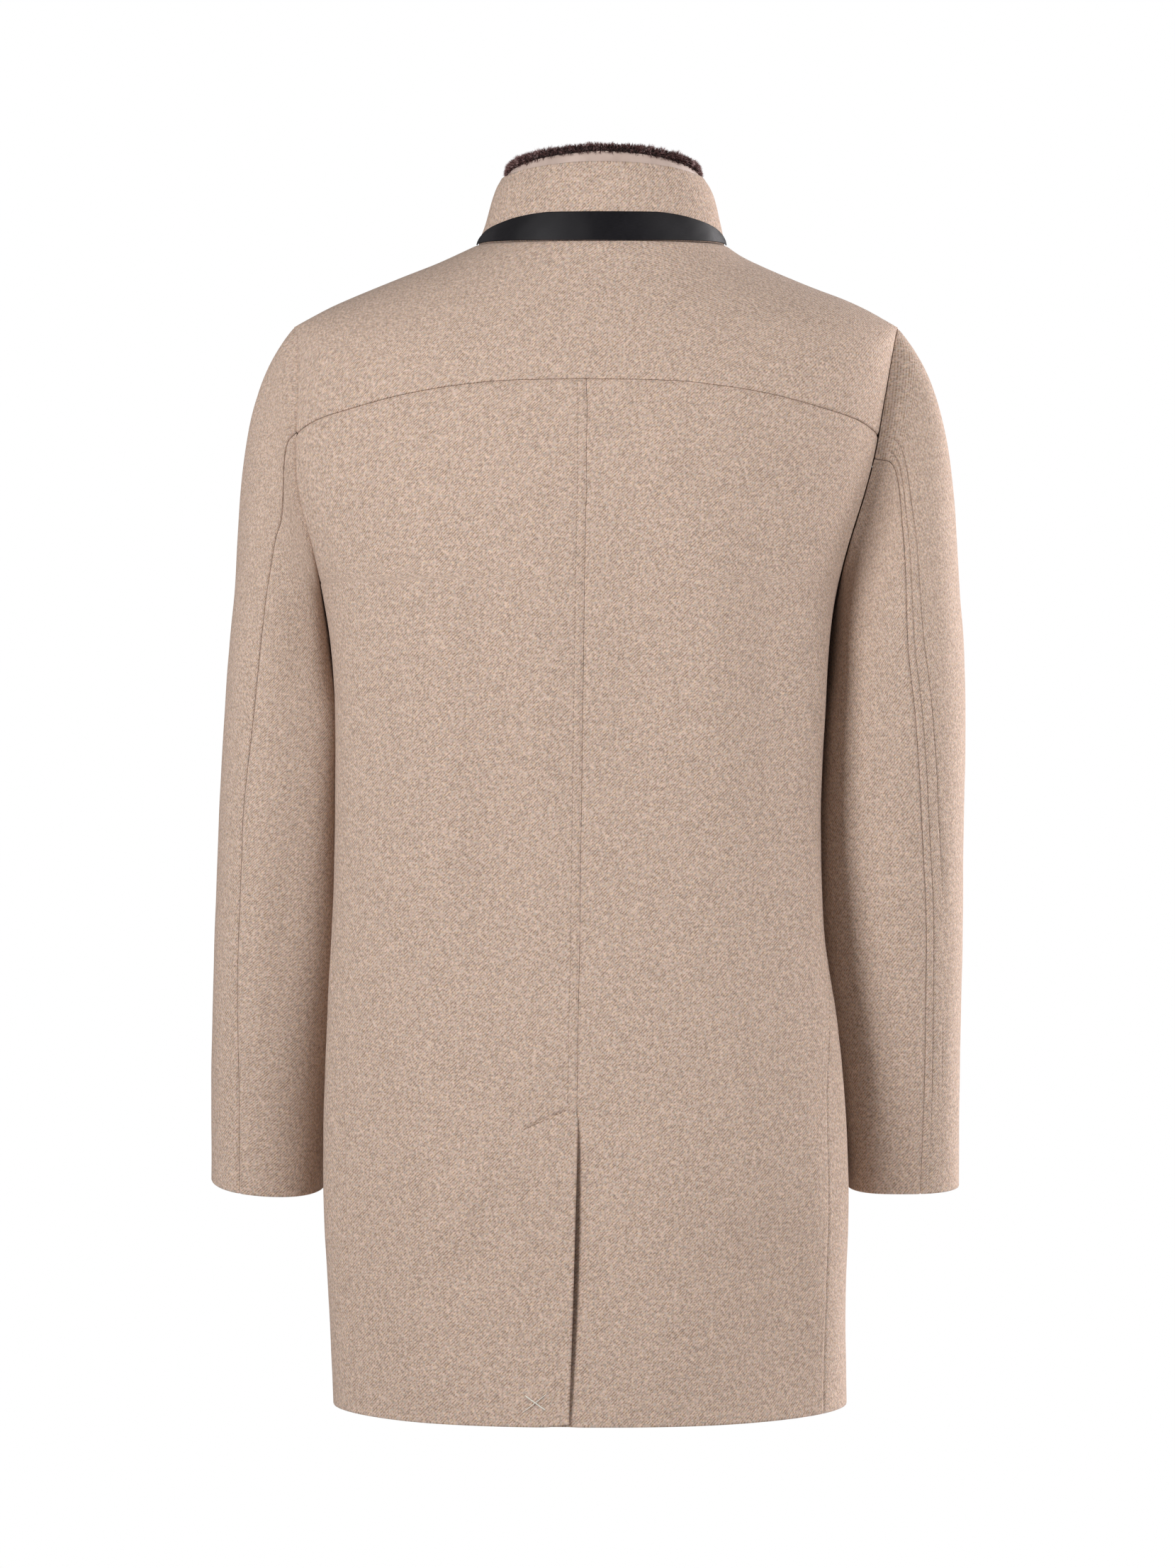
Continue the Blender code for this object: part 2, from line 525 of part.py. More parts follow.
class Sleeve:
    """A tube from the armhole to the cuff, read by share along and share round (0 at the top,
    a quarter behind, a half at the underarm)."""

    def __init__(self, hand, around=240, along=120):
        sign = SIDE[hand]
        rows = SLEEVES[hand]
        turn = 2 * np.pi * np.arange(around) / around
        start = armhole_ring(sign, around)
        rings = [start]
        for r in rows:
            power = 2.0 / r.square
            c = np.sign(np.cos(turn)) * np.abs(np.cos(turn)) ** power
            s = np.sign(np.sin(turn)) * np.abs(np.sin(turn)) ** power
            near = (c < 0) & (s > 0)
            to_corner = (np.abs(c) ** r.corner + np.abs(s) ** r.corner) ** (-1.0 / r.corner)
            c, s = np.where(near, c * to_corner, c), np.where(near, s * to_corner, s)
            c = np.where(near, c * (1 - r.pinch * s * s), c)
            x = (r.x_in + r.x_out) / 2 + (r.x_out - r.x_in) / 2 * c
            rings.append(
                np.stack(
                    [sign * x, r.y_mid + r.half_d * s, r.z + r.rise_out * c - r.rise_front * s], 1
                )
            )
        rings = np.array(rings)
        # direction in which the sleeve leaves the armhole: outward on top, straight down beneath
        lean = 0.16 + 0.70 * (0.5 + 0.5 * np.cos(turn)) ** 1.2 - 0.26 * (0.5 - 0.5 * np.cos(turn)) ** 3
        leave = np.stack([sign * lean, 0.08 * np.sin(turn), -np.ones(around)], 1)
        leave /= np.linalg.norm(leave, axis=1, keepdims=True)
        # it starts just clear of the body's edge, outside it towards the underarm
        aside = ARMHOLE_CLEAR * (0.5 - 0.5 * np.cos(turn))
        rings[0] = start + leave * SEAM + np.stack([sign * aside, 0 * aside, 0 * aside], 1)
        # one smooth line for each share round, through the rings
        chord = np.linalg.norm(np.diff(rings, axis=0), axis=2)
        run = np.concatenate([np.zeros((1, around)), np.cumsum(chord, axis=0)])
        slope = np.empty_like(rings)
        slope[0] = leave
        slope[-1] = (rings[-1] - rings[-2]) / chord[-1][:, None]
        for k in range(1, len(rings) - 1):
            a, b = chord[k - 1][:, None], chord[k][:, None]
            slope[k] = ((rings[k] - rings[k - 1]) / a * b + (rings[k + 1] - rings[k]) / b * a) / (a + b)
        share = np.linspace(0, 1, along)
        self.grid = np.empty((along, around, 3))
        for j in range(around):
            at = share * run[-1, j]
            k = np.clip(np.searchsorted(run[:, j], at, side="right") - 1, 0, len(rings) - 2)
            h = chord[k, j][:, None]
            s = ((at - run[k, j]) / chord[k, j])[:, None]
            self.grid[:, j] = (
                (1 + 2 * s) * (1 - s) ** 2 * rings[k, j]
                + s * (1 - s) ** 2 * h * slope[k, j]
                + s * s * (3 - 2 * s) * rings[k + 1, j]
                + s * s * (s - 1) * h * slope[k + 1, j]
            )
        self.sign = sign

    def point(self, along, round_):
        along, round_ = np.broadcast_arrays(np.asarray(along, float), np.asarray(round_, float))
        n, m = self.grid.shape[:2]
        row = np.clip(along, 0, 1) * (n - 1)
        col = np.mod(round_, 1.0) * m
        i = np.clip(row.astype(int), 0, n - 2)
        j = col.astype(int) % m
        u, v = (row - i)[..., None], (col - np.floor(col))[..., None]
        g, k = self.grid, (j + 1) % m
        return (1 - u) * ((1 - v) * g[i, j] + v * g[i, k]) + u * (
            (1 - v) * g[i + 1, j] + v * g[i + 1, k]
        )

    def normal(self, along, round_):
        da, dr = 0.006, 0.008
        down = self.point(np.minimum(along + da, 1), round_) - self.point(np.maximum(along - da, 0), round_)
        about = self.point(along, round_ + dr) - self.point(along, round_ - dr)
        n = self.sign * np.cross(down, about)
        return n / np.linalg.norm(n, axis=-1, keepdims=True)


# the left sleeve's back seam leaves the armhole where the yoke's seam ends, the right one's lower down
BACK_SEAM_ROW = {"left": len(OVER) - 1, "right": len(OVER) + 1}
FRONT_SEAM_ROW = len(OVER) + len(RISE) - 1 + 5
for hand, sign in SIDE.items():
    sleeve = Sleeve(hand)
    along = np.r_[0.0, 0.02, 0.055, spaced(0.10, 1.0, 12)]
    seams = np.array(SLEEVE_SEAMS[hand])
    shares = armhole_shares(sign)
    at_back, at_front = shares[BACK_SEAM_ROW[hand]], shares[FRONT_SEAM_ROW]
    behind = at_back + smooth(along, seams[:, 0], seams[:, 1])[:, None]
    before = at_front + smooth(along, seams[:, 0], seams[:, 2])[:, None]
    gap = SEAM * 0.8 / 0.30
    under = shares[BACK_SEAM_ROW[hand] : FRONT_SEAM_ROW + 1]
    top = np.r_[shares[FRONT_SEAM_ROW:-1] - 1, shares[: BACK_SEAM_ROW[hand] + 1]]
    for half, columns, a, b in (
        ("top", top, before - 1 + gap, behind - gap),
        ("under", under, behind + gap, before - gap),
    ):
        share = (columns - columns[0]) / (columns[-1] - columns[0])
        round_ = a + share[None, :] * (b - a)
        down = np.repeat(along[:, None], len(columns), axis=1)
        p, n = sleeve.point(down, round_), sleeve.normal(down, round_)
        wall("sleeve_%s_%s" % (hand, half), p, p - n * CLOTH, WOOL)


# ---------------------------------------------------------------- collar, band, inner collar, fur
def around_neck(form, level, share):
    """Distance along the ring for shares from -1 (right end at the front) to 1 (left end)."""
    left = form.front_line(level, 1.0) - COLLAR_END
    right = form.front_line(level, -1.0) - COLLAR_END
    return np.where(share >= 0, share * left, share * right)


def collar_wall(name, form, levels, out, thick, material, count):
    share = spaced(-1, 1, count)[None, :]
    level = np.repeat(np.asarray(levels, float)[:, None], count, axis=1)
    dist = around_neck(form, level, np.repeat(share, len(levels), axis=0))
    p, n = form.point(level, dist), form.normal(level, dist)
    return wall(name, p + n * out, p + n * (out - thick), material)


NECK_COLUMNS = 33
collar_wall("collar", collar_form, spaced(NECK + SEAM, COLLAR_TOP, 5), 0.0, COLLAR_WALL, WOOL, NECK_COLUMNS)

# crescent: full height behind, down to a point where the collar passes the shoulder line
share = spaced(-1, 1, 29)
reach = {s: collar_form.side_line(NECK, s) * BAND_TAPER_TO for s in (1.0, -1.0)}
dist = np.where(share >= 0, share * reach[1.0], share * reach[-1.0])
fall = np.clip((np.abs(share) - BAND_TAPER_FROM) / (1 - BAND_TAPER_FROM), 0, 1)
tall = BAND_HEIGHT * (1 - 0.93 * fall**1.45)
level = NECK + SEAM + spaced(0, 1, 3)[:, None] * (tall[None, :] - SEAM)
dist = np.repeat(dist[None, :], 3, axis=0)
p, n = collar_form.point(level, dist), collar_form.normal(level, dist)
wall("collar_band", p + n * (LAY + BAND_WALL), p + n * LAY, SATIN)

# The fur's lower edge on the outside: high behind, down to the collar's top at the sides.
Edge = namedtuple("Edge", "share level")
FUR_LINE = [
    Edge(0.00, 0.0768),
    Edge(0.20, 0.0742),
    Edge(0.32, 0.0712),
    Edge(0.44, 0.0672),
    Edge(0.55, 0.0640),
    Edge(1.00, 0.0640),
]
INNER_FOOT, FUR_CREST = 0.016, 0.0845
share = spaced(-1, 1, NECK_COLUMNS)
line = np.array(FUR_LINE)
fur_line = smooth(np.abs(share), line[:, 0], line[:, 1])
rise = np.array([0.0, 0.25, 0.5, 0.75, 1.0])[:, None]
level = INNER_FOOT + rise * (fur_line[None, :] - LAY - INNER_FOOT)
dist = around_neck(inner_form, level, np.repeat(share[None, :], len(rise), axis=0))
p, n = inner_form.point(level, dist), inner_form.normal(level, dist)
wall("inner_collar", p, p - n * INNER_WALL, SMOOTH)

# Fur: lines the inner collar and rolls over its top edge. A row of its section is a level, as a
# share up from the inner collar's foot to the fur line and a share on from there to the crest, and
# a distance out from the inner collar's face.
Pile = namedtuple("Pile", "up over out")
BEHIND = -INNER_WALL - 2 * LAY
FUR_SECTION = [
    Pile(0.25, 0.0, BEHIND),
    Pile(0.50, 0.0, BEHIND),
    Pile(0.75, 0.0, BEHIND),
    Pile(1.00, 0.0, BEHIND),
    Pile(1.00, 0.05, 0.0016),
    Pile(1.00, 0.45, 0.0026),
    Pile(1.00, 0.85, -0.0008),
    Pile(1.00, 1.00, -0.0040),
    Pile(1.00, 0.75, -0.0088),
    Pile(1.00, 0.00, -0.0108),
    Pile(0.60, 0.0, -0.0110),
    Pile(0.25, 0.0, -0.0098),
]
share, fur_line = share[1:-1], fur_line[1:-1]
loop = []
for row in FUR_SECTION:
    level = INNER_FOOT + row.up * (fur_line + LAY - INNER_FOOT) + row.over * (FUR_CREST - fur_line)
    dist = around_neck(inner_form, level, share)
    loop.append(inner_form.point(level, dist) + inner_form.normal(level, dist) * row.out)
loop = np.array(loop)
sides, ends = loop.shape[:2]
verts = loop.reshape(-1, 3)
faces = [
    [i * ends + j, ((i + 1) % sides) * ends + j, ((i + 1) % sides) * ends + j + 1, i * ends + j + 1]
    for i in range(sides)
    for j in range(ends - 1)
]
faces += [[i * ends for i in range(sides)], [i * ends + ends - 1 for i in reversed(range(sides))]]
finish("fur_trim", verts, faces, FUR)


# ---------------------------------------------------------------- buttons on the left front
Turn = namedtuple("Turn", "radius height")  # a button's turned section, as shares of its radius and thickness
BUTTON = [
    Turn(0.00, 0.00),
    Turn(0.86, 0.00),
    Turn(1.00, 0.30),
    Turn(1.00, 0.70),
    Turn(0.93, 1.00),
    Turn(0.78, 0.94),
    Turn(0.62, 0.62),
    Turn(0.00, 0.58),
]
for k, level in enumerate(BUTTON_LEVELS, 1):
    dist = centre_front(level, 1.0)
    place, out = body.point(level, dist), body.normal(level, dist)
    side = np.cross([0.0, 0.0, 1.0], out)
    side /= np.linalg.norm(side)
    up = np.cross(out, side)
    turn = 2 * np.pi * np.arange(BUTTON_SIDES) / BUTTON_SIDES
    verts, faces = [], []
    for row in BUTTON:
        ring = [None] if row.radius == 0 else turn
        for t in ring:
            flat = 0 if t is None else row.radius * BUTTON_RADIUS * (np.cos(t) * side + np.sin(t) * up)
            verts.append(place + flat + out * (2 * LAY + row.height * BUTTON_THICK))
    last = len(verts) - 1
    for j in range(BUTTON_SIDES):
        m = (j + 1) % BUTTON_SIDES
        faces.append([0, 1 + m, 1 + j])
        for r in range(len(BUTTON) - 3):
            a = 1 + BUTTON_SIDES * r
            faces.append([a + j, a + m, a + BUTTON_SIDES + m, a + BUTTON_SIDES + j])
        a = 1 + BUTTON_SIDES * (len(BUTTON) - 3)
        faces.append([a + j, a + m, last])
    finish("button_%d" % k, verts, faces, HORN)
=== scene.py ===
"""Looks of the winter coat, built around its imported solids.

Metres, +Z up. The front faces -Y and the wearer's left is +X. The cloth pieces are thin shells on
the same rings as the solids, with seams, stitches, edges and soft folds added.
"""

from collections import namedtuple

import bpy
import numpy as np
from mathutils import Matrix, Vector


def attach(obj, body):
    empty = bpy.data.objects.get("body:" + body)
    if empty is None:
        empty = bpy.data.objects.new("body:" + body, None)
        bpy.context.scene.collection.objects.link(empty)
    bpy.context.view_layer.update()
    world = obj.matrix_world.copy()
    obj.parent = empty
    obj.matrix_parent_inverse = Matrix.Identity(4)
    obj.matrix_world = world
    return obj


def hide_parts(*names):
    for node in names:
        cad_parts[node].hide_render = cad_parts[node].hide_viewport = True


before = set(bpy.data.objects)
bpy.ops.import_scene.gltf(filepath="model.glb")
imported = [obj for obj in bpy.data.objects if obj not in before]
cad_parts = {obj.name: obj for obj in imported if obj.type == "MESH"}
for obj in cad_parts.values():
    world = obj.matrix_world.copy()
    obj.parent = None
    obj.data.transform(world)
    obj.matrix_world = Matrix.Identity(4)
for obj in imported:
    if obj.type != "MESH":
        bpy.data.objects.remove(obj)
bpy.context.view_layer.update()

# ---------------------------------------------------------------- sizes shared with the solids
CLOTH = 0.0024
COLLAR_WALL = 0.0036
INNER_WALL = 0.0020
BAND_WALL = 0.0010
SEAM = 0.0004
LAY = 0.0003
HEM = -0.900
NECK = 0.006
COLLAR_TOP = 0.067
VENT_TOP = -0.662
VENT_UNDERLAP = 0.038
FRONT_LAP = 0.036
UNDERARM = -0.258
SHOULDER = -0.100
ARMHOLE_BACK = {1.0: 0.055, -1.0: 0.036}
ARMHOLE_FRONT = 0.060
ARMHOLE_ROUND = 2.3
SHOULDER_SEAM_FORWARD = 0.012
SOFT_TURN = 0.015
BAND_HEIGHT = 0.0222
BAND_TAPER_FROM, BAND_TAPER_TO = 0.30, 0.985
COLLAR_END = 0.008
BUTTON_RADIUS, BUTTON_THICK = 0.0125, 0.0042
BUTTON_LEVELS = (-0.135, -0.262, -0.389, -0.516)

Ring = namedtuple(
    "Ring", "z_back z_side z_front x_mid half_w y_back y_side y_front square square_front"
)
BODY = [
    Ring(-0.900, -0.894, -0.904, -0.0018, 0.2003, 0.1370, 0.020, -0.1460, 2.60, 2.25),
    Ring(-0.800, -0.798, -0.803, 0.0007, 0.2027, 0.1370, 0.020, -0.1450, 2.60, 2.20),
    Ring(-0.735, -0.735, -0.738, 0.0012, 0.2050, 0.1365, 0.022, -0.1440, 2.60, 2.15),
    Ring(-0.660, -0.660, -0.663, 0.0024, 0.2022, 0.1340, 0.026, -0.1420, 2.60, 2.10),
    Ring(-0.600, -0.600, -0.603, 0.0040, 0.1975, 0.1310, 0.030, -0.1400, 2.60, 2.05),
    Ring(-0.520, -0.520, -0.523, 0.0085, 0.1895, 0.1265, 0.032, -0.1370, 2.60, 2.05),
    Ring(-0.440, -0.440, -0.443, 0.0085, 0.1880, 0.1250, 0.032, -0.1340, 2.60, 2.05),
    Ring(-0.350, -0.350, -0.353, 0.0062, 0.1905, 0.1290, 0.028, -0.1310, 2.60, 2.10),
    Ring(-0.258, -0.258, -0.262, 0.0065, 0.2015, 0.1325, 0.010, -0.1270, 2.55, 2.25),
    Ring(-0.228, -0.222, -0.236, 0.0075, 0.2145, 0.1320, 0.004, -0.1250, 2.50, 2.40),
    Ring(-0.195, -0.183, -0.208, 0.0075, 0.2282, 0.1305, 0.000, -0.1220, 2.50, 2.45),
    Ring(-0.160, -0.140, -0.180, 0.0030, 0.2345, 0.1280, 0.000, -0.1180, 2.45, 2.45),
    Ring(-0.128, -0.095, -0.154, -0.0020, 0.2358, 0.1240, 0.000, -0.1120, 2.40, 2.40),
    Ring(-0.100, -0.0546, -0.131, -0.0067, 0.2369, 0.1190, 0.000, -0.1050, 2.40, 2.40),
    Ring(-0.0955, -0.0512, -0.1282, -0.0067, 0.2308, 0.1180, 0.000, -0.1037, 2.38, 2.38),
    Ring(-0.075, -0.0358, -0.115, -0.0067, 0.2030, 0.1125, 0.000, -0.0970, 2.30, 2.30),
    Ring(-0.048, -0.0204, -0.101, -0.0052, 0.1628, 0.1030, 0.000, -0.0880, 2.20, 2.20),
    Ring(-0.020, -0.0040, -0.088, -0.0060, 0.1228, 0.0905, 0.000, -0.0770, 2.15, 2.15),
    Ring(NECK, 0.0095, -0.077, -0.0110, 0.0975, 0.0800, 0.000, -0.0670, 2.10, 2.10),
]
COLLAR = [
    Ring(NECK, 0.0100, -0.0765, -0.0110, 0.0972, 0.0797, 0.000, -0.0667, 2.10, 2.10),
    Ring(0.0260, 0.0285, -0.0590, -0.0122, 0.0919, 0.0775, 0.000, -0.0670, 2.10, 2.10),
    Ring(0.0470, 0.0465, -0.0410, -0.0126, 0.0871, 0.0745, 0.000, -0.0665, 2.10, 2.10),
    Ring(0.0670, 0.0610, -0.0260, -0.0122, 0.0814, 0.0715, 0.000, -0.0650, 2.10, 2.10),
]
INNER = [
    Ring(0.0160, 0.0180, -0.0660, -0.0116, 0.0885, 0.0725, 0.000, -0.0610, 2.10, 2.10),
    Ring(0.0420, 0.0410, -0.0430, -0.0122, 0.0825, 0.0690, 0.000, -0.0600, 2.10, 2.10),
    Ring(0.0670, 0.0640, -0.0210, -0.0122, 0.0757, 0.0652, 0.000, -0.0575, 2.10, 2.10),
    Ring(0.0768, 0.0732, -0.0130, -0.0121, 0.0722, 0.0634, 0.000, -0.0560, 2.10, 2.10),
    Ring(0.0900, 0.0855, -0.0030, -0.0120, 0.0668, 0.0608, 0.000, -0.0540, 2.10, 2.10),
]
Height = namedtuple("Height", "at z")
YOKE_SEAM = [
    Height(0.000, -0.1030),
    Height(0.065, -0.1045),
    Height(0.105, -0.1085),
    Height(0.140, -0.1140),
    Height(0.180, -0.1235),
    Height(0.212, -0.1325),
    Height(0.232, -0.1440),
]
Line = namedtuple("Line", "level x")
CENTRE_BACK = [
    Line(-0.900, 0.0151),
    Line(-0.780, 0.0112),
    Line(-0.660, 0.0081),
    Line(-0.410, 0.0043),
    Line(-0.100, 0.0000),
]
CENTRE_FRONT = [Line(HEM, -0.0005), Line(NECK, -0.0105)]
Behind = namedtuple("Behind", "level by")
SIDE_SEAM = [
    Behind(-0.900, 0.072),
    Behind(-0.760, 0.070),
    Behind(-0.660, 0.062),
    Behind(-0.600, 0.044),
    Behind(-0.520, 0.018),
    Behind(-0.400, 0.003),
    Behind(UNDERARM, 0.000),
]
# corner and pinch: how square the quarter behind and next to the body is, and how it narrows
Cuff = namedtuple("Cuff", "z x_in x_out y_mid half_d rise_out rise_front square corner pinch")
SLEEVES = {
    "left": [
        Cuff(-0.290, 0.2004, 0.2805, -0.028, 0.0690, 0.012, 0.000, 2.2, 4.0, 0.0),
        Cuff(-0.360, 0.1942, 0.2866, -0.026, 0.0680, 0.006, 0.000, 2.2, 5.0, 0.0),
        Cuff(-0.450, 0.1942, 0.2916, -0.030, 0.0660, 0.003, 0.001, 2.2, 4.0, 0.0),
        Cuff(-0.540, 0.1945, 0.2956, -0.034, 0.0620, 0.002, 0.004, 2.2, 2.8, 0.0),
        Cuff(-0.640, 0.2025, 0.2982, -0.042, 0.0570, 0.002, 0.007, 2.15, 2.15, 0.0),
        Cuff(-0.7285, 0.2090, 0.2992, -0.050, 0.0525, 0.003, 0.007, 2.1, 2.1, 0.0),
    ],
    "right": [
        Cuff(-0.290, 0.1888, 0.2940, -0.012, 0.0745, 0.012, 0.000, 2.2, 3.2, 0.24),
        Cuff(-0.360, 0.1818, 0.2973, -0.011, 0.0722, 0.006, 0.000, 2.2, 4.0, 0.36),
        Cuff(-0.450, 0.1758, 0.2963, -0.015, 0.0680, 0.003, 0.000, 2.2, 4.0, 0.35),
        Cuff(-0.540, 0.1788, 0.2956, -0.019, 0.0620, 0.001, 0.001, 2.2, 4.0, 0.50),
        Cuff(-0.640, 0.1930, 0.2946, -0.030, 0.0570, 0.000, 0.002, 2.15, 4.0, 0.40),
        Cuff(-0.7300, 0.2058, 0.2944, -0.040, 0.0525, 0.000, 0.003, 2.1, 3.6, 0.17),
    ],
}
Seam = namedtuple("Seam", "along back front")
SLEEVE_SEAMS = {
    "left": [
        Seam(0.00, 0.000, 0.000),
        Seam(0.028, -0.014, -0.001),
        Seam(0.040, -0.004, -0.002),
        Seam(0.050, 0.016, -0.002),
        Seam(0.062, 0.032, -0.002),
        Seam(0.081, 0.036, -0.003),
        Seam(0.128, 0.018, -0.005),
        Seam(0.184, 0.002, -0.006),
        Seam(0.230, -0.009, -0.008),
        Seam(0.27, -0.014, -0.009),
        Seam(0.40, -0.035, -0.015),
        Seam(0.55, -0.056, -0.022),
        Seam(0.72, -0.058, -0.030),
        Seam(0.86, -0.045, -0.036),
        Seam(1.00, -0.038, -0.040),
    ],
    "right": [
        Seam(0.00, 0.000, 0.000),
        Seam(0.05, -0.042, -0.002),
        Seam(0.12, -0.026, -0.004),
        Seam(0.25, -0.021, -0.008),
        Seam(0.38, -0.043, -0.014),
        Seam(0.50, -0.062, -0.020),
        Seam(0.67, -0.077, -0.028),
        Seam(0.85, -0.066, -0.035),
        Seam(1.00, -0.044, -0.040),
    ],
}
Edge = namedtuple("Edge", "share level")
FUR_LINE = [
    Edge(0.00, 0.0768),
    Edge(0.20, 0.0742),
    Edge(0.32, 0.0712),
    Edge(0.44, 0.0672),
    Edge(0.55, 0.0640),
    Edge(1.00, 0.0640),
]
INNER_FOOT, FUR_CREST = 0.016, 0.0845
SIDE = {"left": 1.0, "right": -1.0}

# ---------------------------------------------------------------- sizes of the fine form
GRID = 0.005  # spacing of a shell's points away from its seams
ROLL, ROLL_WIDE = 0.0011, 0.0014  # how deep and wide the cloth rolls in at a seam
TOPSTITCH = 0.0070  # a row of stitches runs this far from its seam
TOPSTITCH_2 = 0.0175  # second row, beside the right sleeve's back seam
STITCH_LONG, STITCH_GAP, THREAD = 0.0028, 0.0010, 0.00030
PILE = 0.0042  # fur strand length
TWILL_PITCH, TWILL_FLOAT = 0.00173, 0.0024  # between the wool's ribs, and along one float
MELANGE = ((0.572, 0.424, 0.366), (0.578, 0.430, 0.308), (0.462, 0.412, 0.362))  # rose, straw, cool grey
# dark ground yarn between the ribs, mixed in also as painted shade of the grooves
GROUND_AND_GROOVE_SHADE = (0.240, 0.142, 0.088)  # between the ribs
# how deep each side's armhole seam is rolled in, and the side seams below it
ARMHOLE_ROLL = {1.0: 0.0004, -1.0: 0.0006}
SIDE_ROLL = 0.00075
# half the gap left open at each side's armhole seam; the others are closed
ARMHOLE_GAP = {1.0: -0.0004, -1.0: 0.0002}
ARMHOLE_ASIDE = {1.0: -0.0014, -1.0: 0.0006}
CLOSED = -0.0001
SHUT = 0.0003  # how far the cut edges at the neck meet inside their seam
MEET = 0.00022  # and those of the back's seams, on the inner face only

# Soft folds of the body, as lines seen from one side: across and height at each end, half width,
# depth (out is positive) and how far the line bows.
Fold = namedtuple("Fold", "a0 z0 a1 z1 wide deep bow")
BACK_FOLDS = [
    Fold(0.115, -0.150, 0.118, -0.650, 0.030, 0.0054, 0.01),
    Fold(0.071, -0.145, 0.077, -0.630, 0.025, -0.0048, 0.00),
    Fold(0.045, -0.112, 0.041, -0.470, 0.019, 0.0022, 0.00),
    Fold(0.007, -0.110, 0.008, -0.500, 0.017, -0.0012, 0.00),
    Fold(-0.034, -0.145, -0.037, -0.500, 0.025, -0.0042, -0.01),
    Fold(-0.092, -0.165, -0.122, -0.520, 0.027, 0.0046, -0.02),
    Fold(-0.136, -0.125, -0.154, -0.440, 0.016, -0.0024, -0.02),
    Fold(-0.180, -0.190, -0.172, -0.640, 0.026, 0.0064, 0.00),
    Fold(-0.062, -0.112, -0.068, -0.200, 0.011, 0.0014, 0.00),
    Fold(0.196, -0.180, 0.168, -0.300, 0.011, -0.0013, 0.05),
    Fold(0.079, -0.680, 0.122, -0.805, 0.015, 0.0028, 0.02),
    Fold(0.056, -0.690, 0.102, -0.820, 0.016, -0.0026, 0.02),
    Fold(0.160, -0.560, 0.172, -0.905, 0.024, -0.0026, 0.02),
    Fold(0.120, -0.780, 0.128, -0.905, 0.026, 0.0026, 0.00),
    Fold(-0.046, -0.640, -0.066, -0.905, 0.042, 0.0070, -0.02),
    Fold(-0.134, -0.720, -0.146, -0.905, 0.028, -0.0054, 0.01),
    Fold(-0.178, -0.560, -0.184, -0.880, 0.014, 0.0024, -0.02),
]
FRONT_FOLDS = [
    Fold(0.150, -0.150, 0.105, -0.420, 0.020, -0.0022, 0.06),
    Fold(0.172, -0.190, 0.140, -0.520, 0.017, 0.0020, 0.05),
    Fold(-0.158, -0.160, -0.112, -0.400, 0.019, -0.0020, -0.06),
    Fold(-0.176, -0.200, -0.140, -0.480, 0.018, 0.0018, -0.05),
    Fold(0.004, -0.262, 0.088, -0.320, 0.012, -0.0012, 0.04),
    Fold(0.004, -0.389, 0.105, -0.430, 0.013, -0.0014, 0.05),
    Fold(-0.030, -0.389, -0.110, -0.440, 0.013, -0.0011, -0.05),
    Fold(0.006, -0.516, 0.090, -0.600, 0.016, -0.0016, 0.05),
    Fold(0.070, -0.540, 0.096, -0.900, 0.026, 0.0030, 0.02),
    Fold(0.128, -0.560, 0.146, -0.900, 0.022, -0.0026, 0.02),
    Fold(-0.078, -0.530, -0.088, -0.900, 0.028, 0.0028, -0.02),
    Fold(-0.136, -0.580, -0.150, -0.900, 0.022, -0.0024, -0.02),
    Fold(-0.024, -0.560, -0.020, -0.900, 0.018, -0.0012, 0.0),
]
SIDE_FOLDS = [  # across is y here, the same on both sides
    Fold(0.060, -0.420, 0.075, -0.880, 0.018, 0.0022, 0.02),
    Fold(0.010, -0.460, 0.018, -0.900, 0.018, -0.0026, -0.02),
    Fold(-0.045, -0.440, -0.050, -0.900, 0.020, 0.0026, 0.02),
    Fold(-0.090, -0.520, -0.088, -0.900, 0.016, -0.0018, 0.0),
]
# Soft creases of a sleeve: share along and share round at each end, half width and depth.
Crease = namedtuple("Crease", "along0 round0 along1 round1 wide deep")
SLEEVE_CREASES = {
    "left": [
        Crease(0.10, 0.36, 0.30, 0.27, 0.012, -0.0014),
        Crease(0.16, 0.44, 0.36, 0.36, 0.014, 0.0012),
        Crease(0.42, 0.70, 0.50, 0.92, 0.010, -0.0022),
        Crease(0.47, 0.66, 0.56, 0.86, 0.011, 0.0018),
        Crease(0.52, 0.72, 0.60, 0.96, 0.010, -0.0018),
        Crease(0.50, 0.30, 0.72, 0.24, 0.018, -0.0010),
        Crease(0.62, 0.62, 0.92, 0.66, 0.016, -0.0014),
        Crease(0.08, 0.90, 0.30, 0.82, 0.014, -0.0014),
    ],
    "right": [
        Crease(0.09, 0.38, 0.28, 0.29, 0.013, -0.0016),
        Crease(0.15, 0.45, 0.38, 0.38, 0.014, 0.0013),
        Crease(0.40, 0.68, 0.49, 0.90, 0.011, -0.0020),
        Crease(0.46, 0.66, 0.54, 0.88, 0.011, 0.0020),
        Crease(0.54, 0.70, 0.61, 0.95, 0.010, -0.0016),
        Crease(0.44, 0.26, 0.60, 0.34, 0.020, -0.0012),
        Crease(0.64, 0.60, 0.90, 0.64, 0.016, -0.0014),
        Crease(0.10, 0.88, 0.32, 0.80, 0.014, -0.0015),
    ],
}


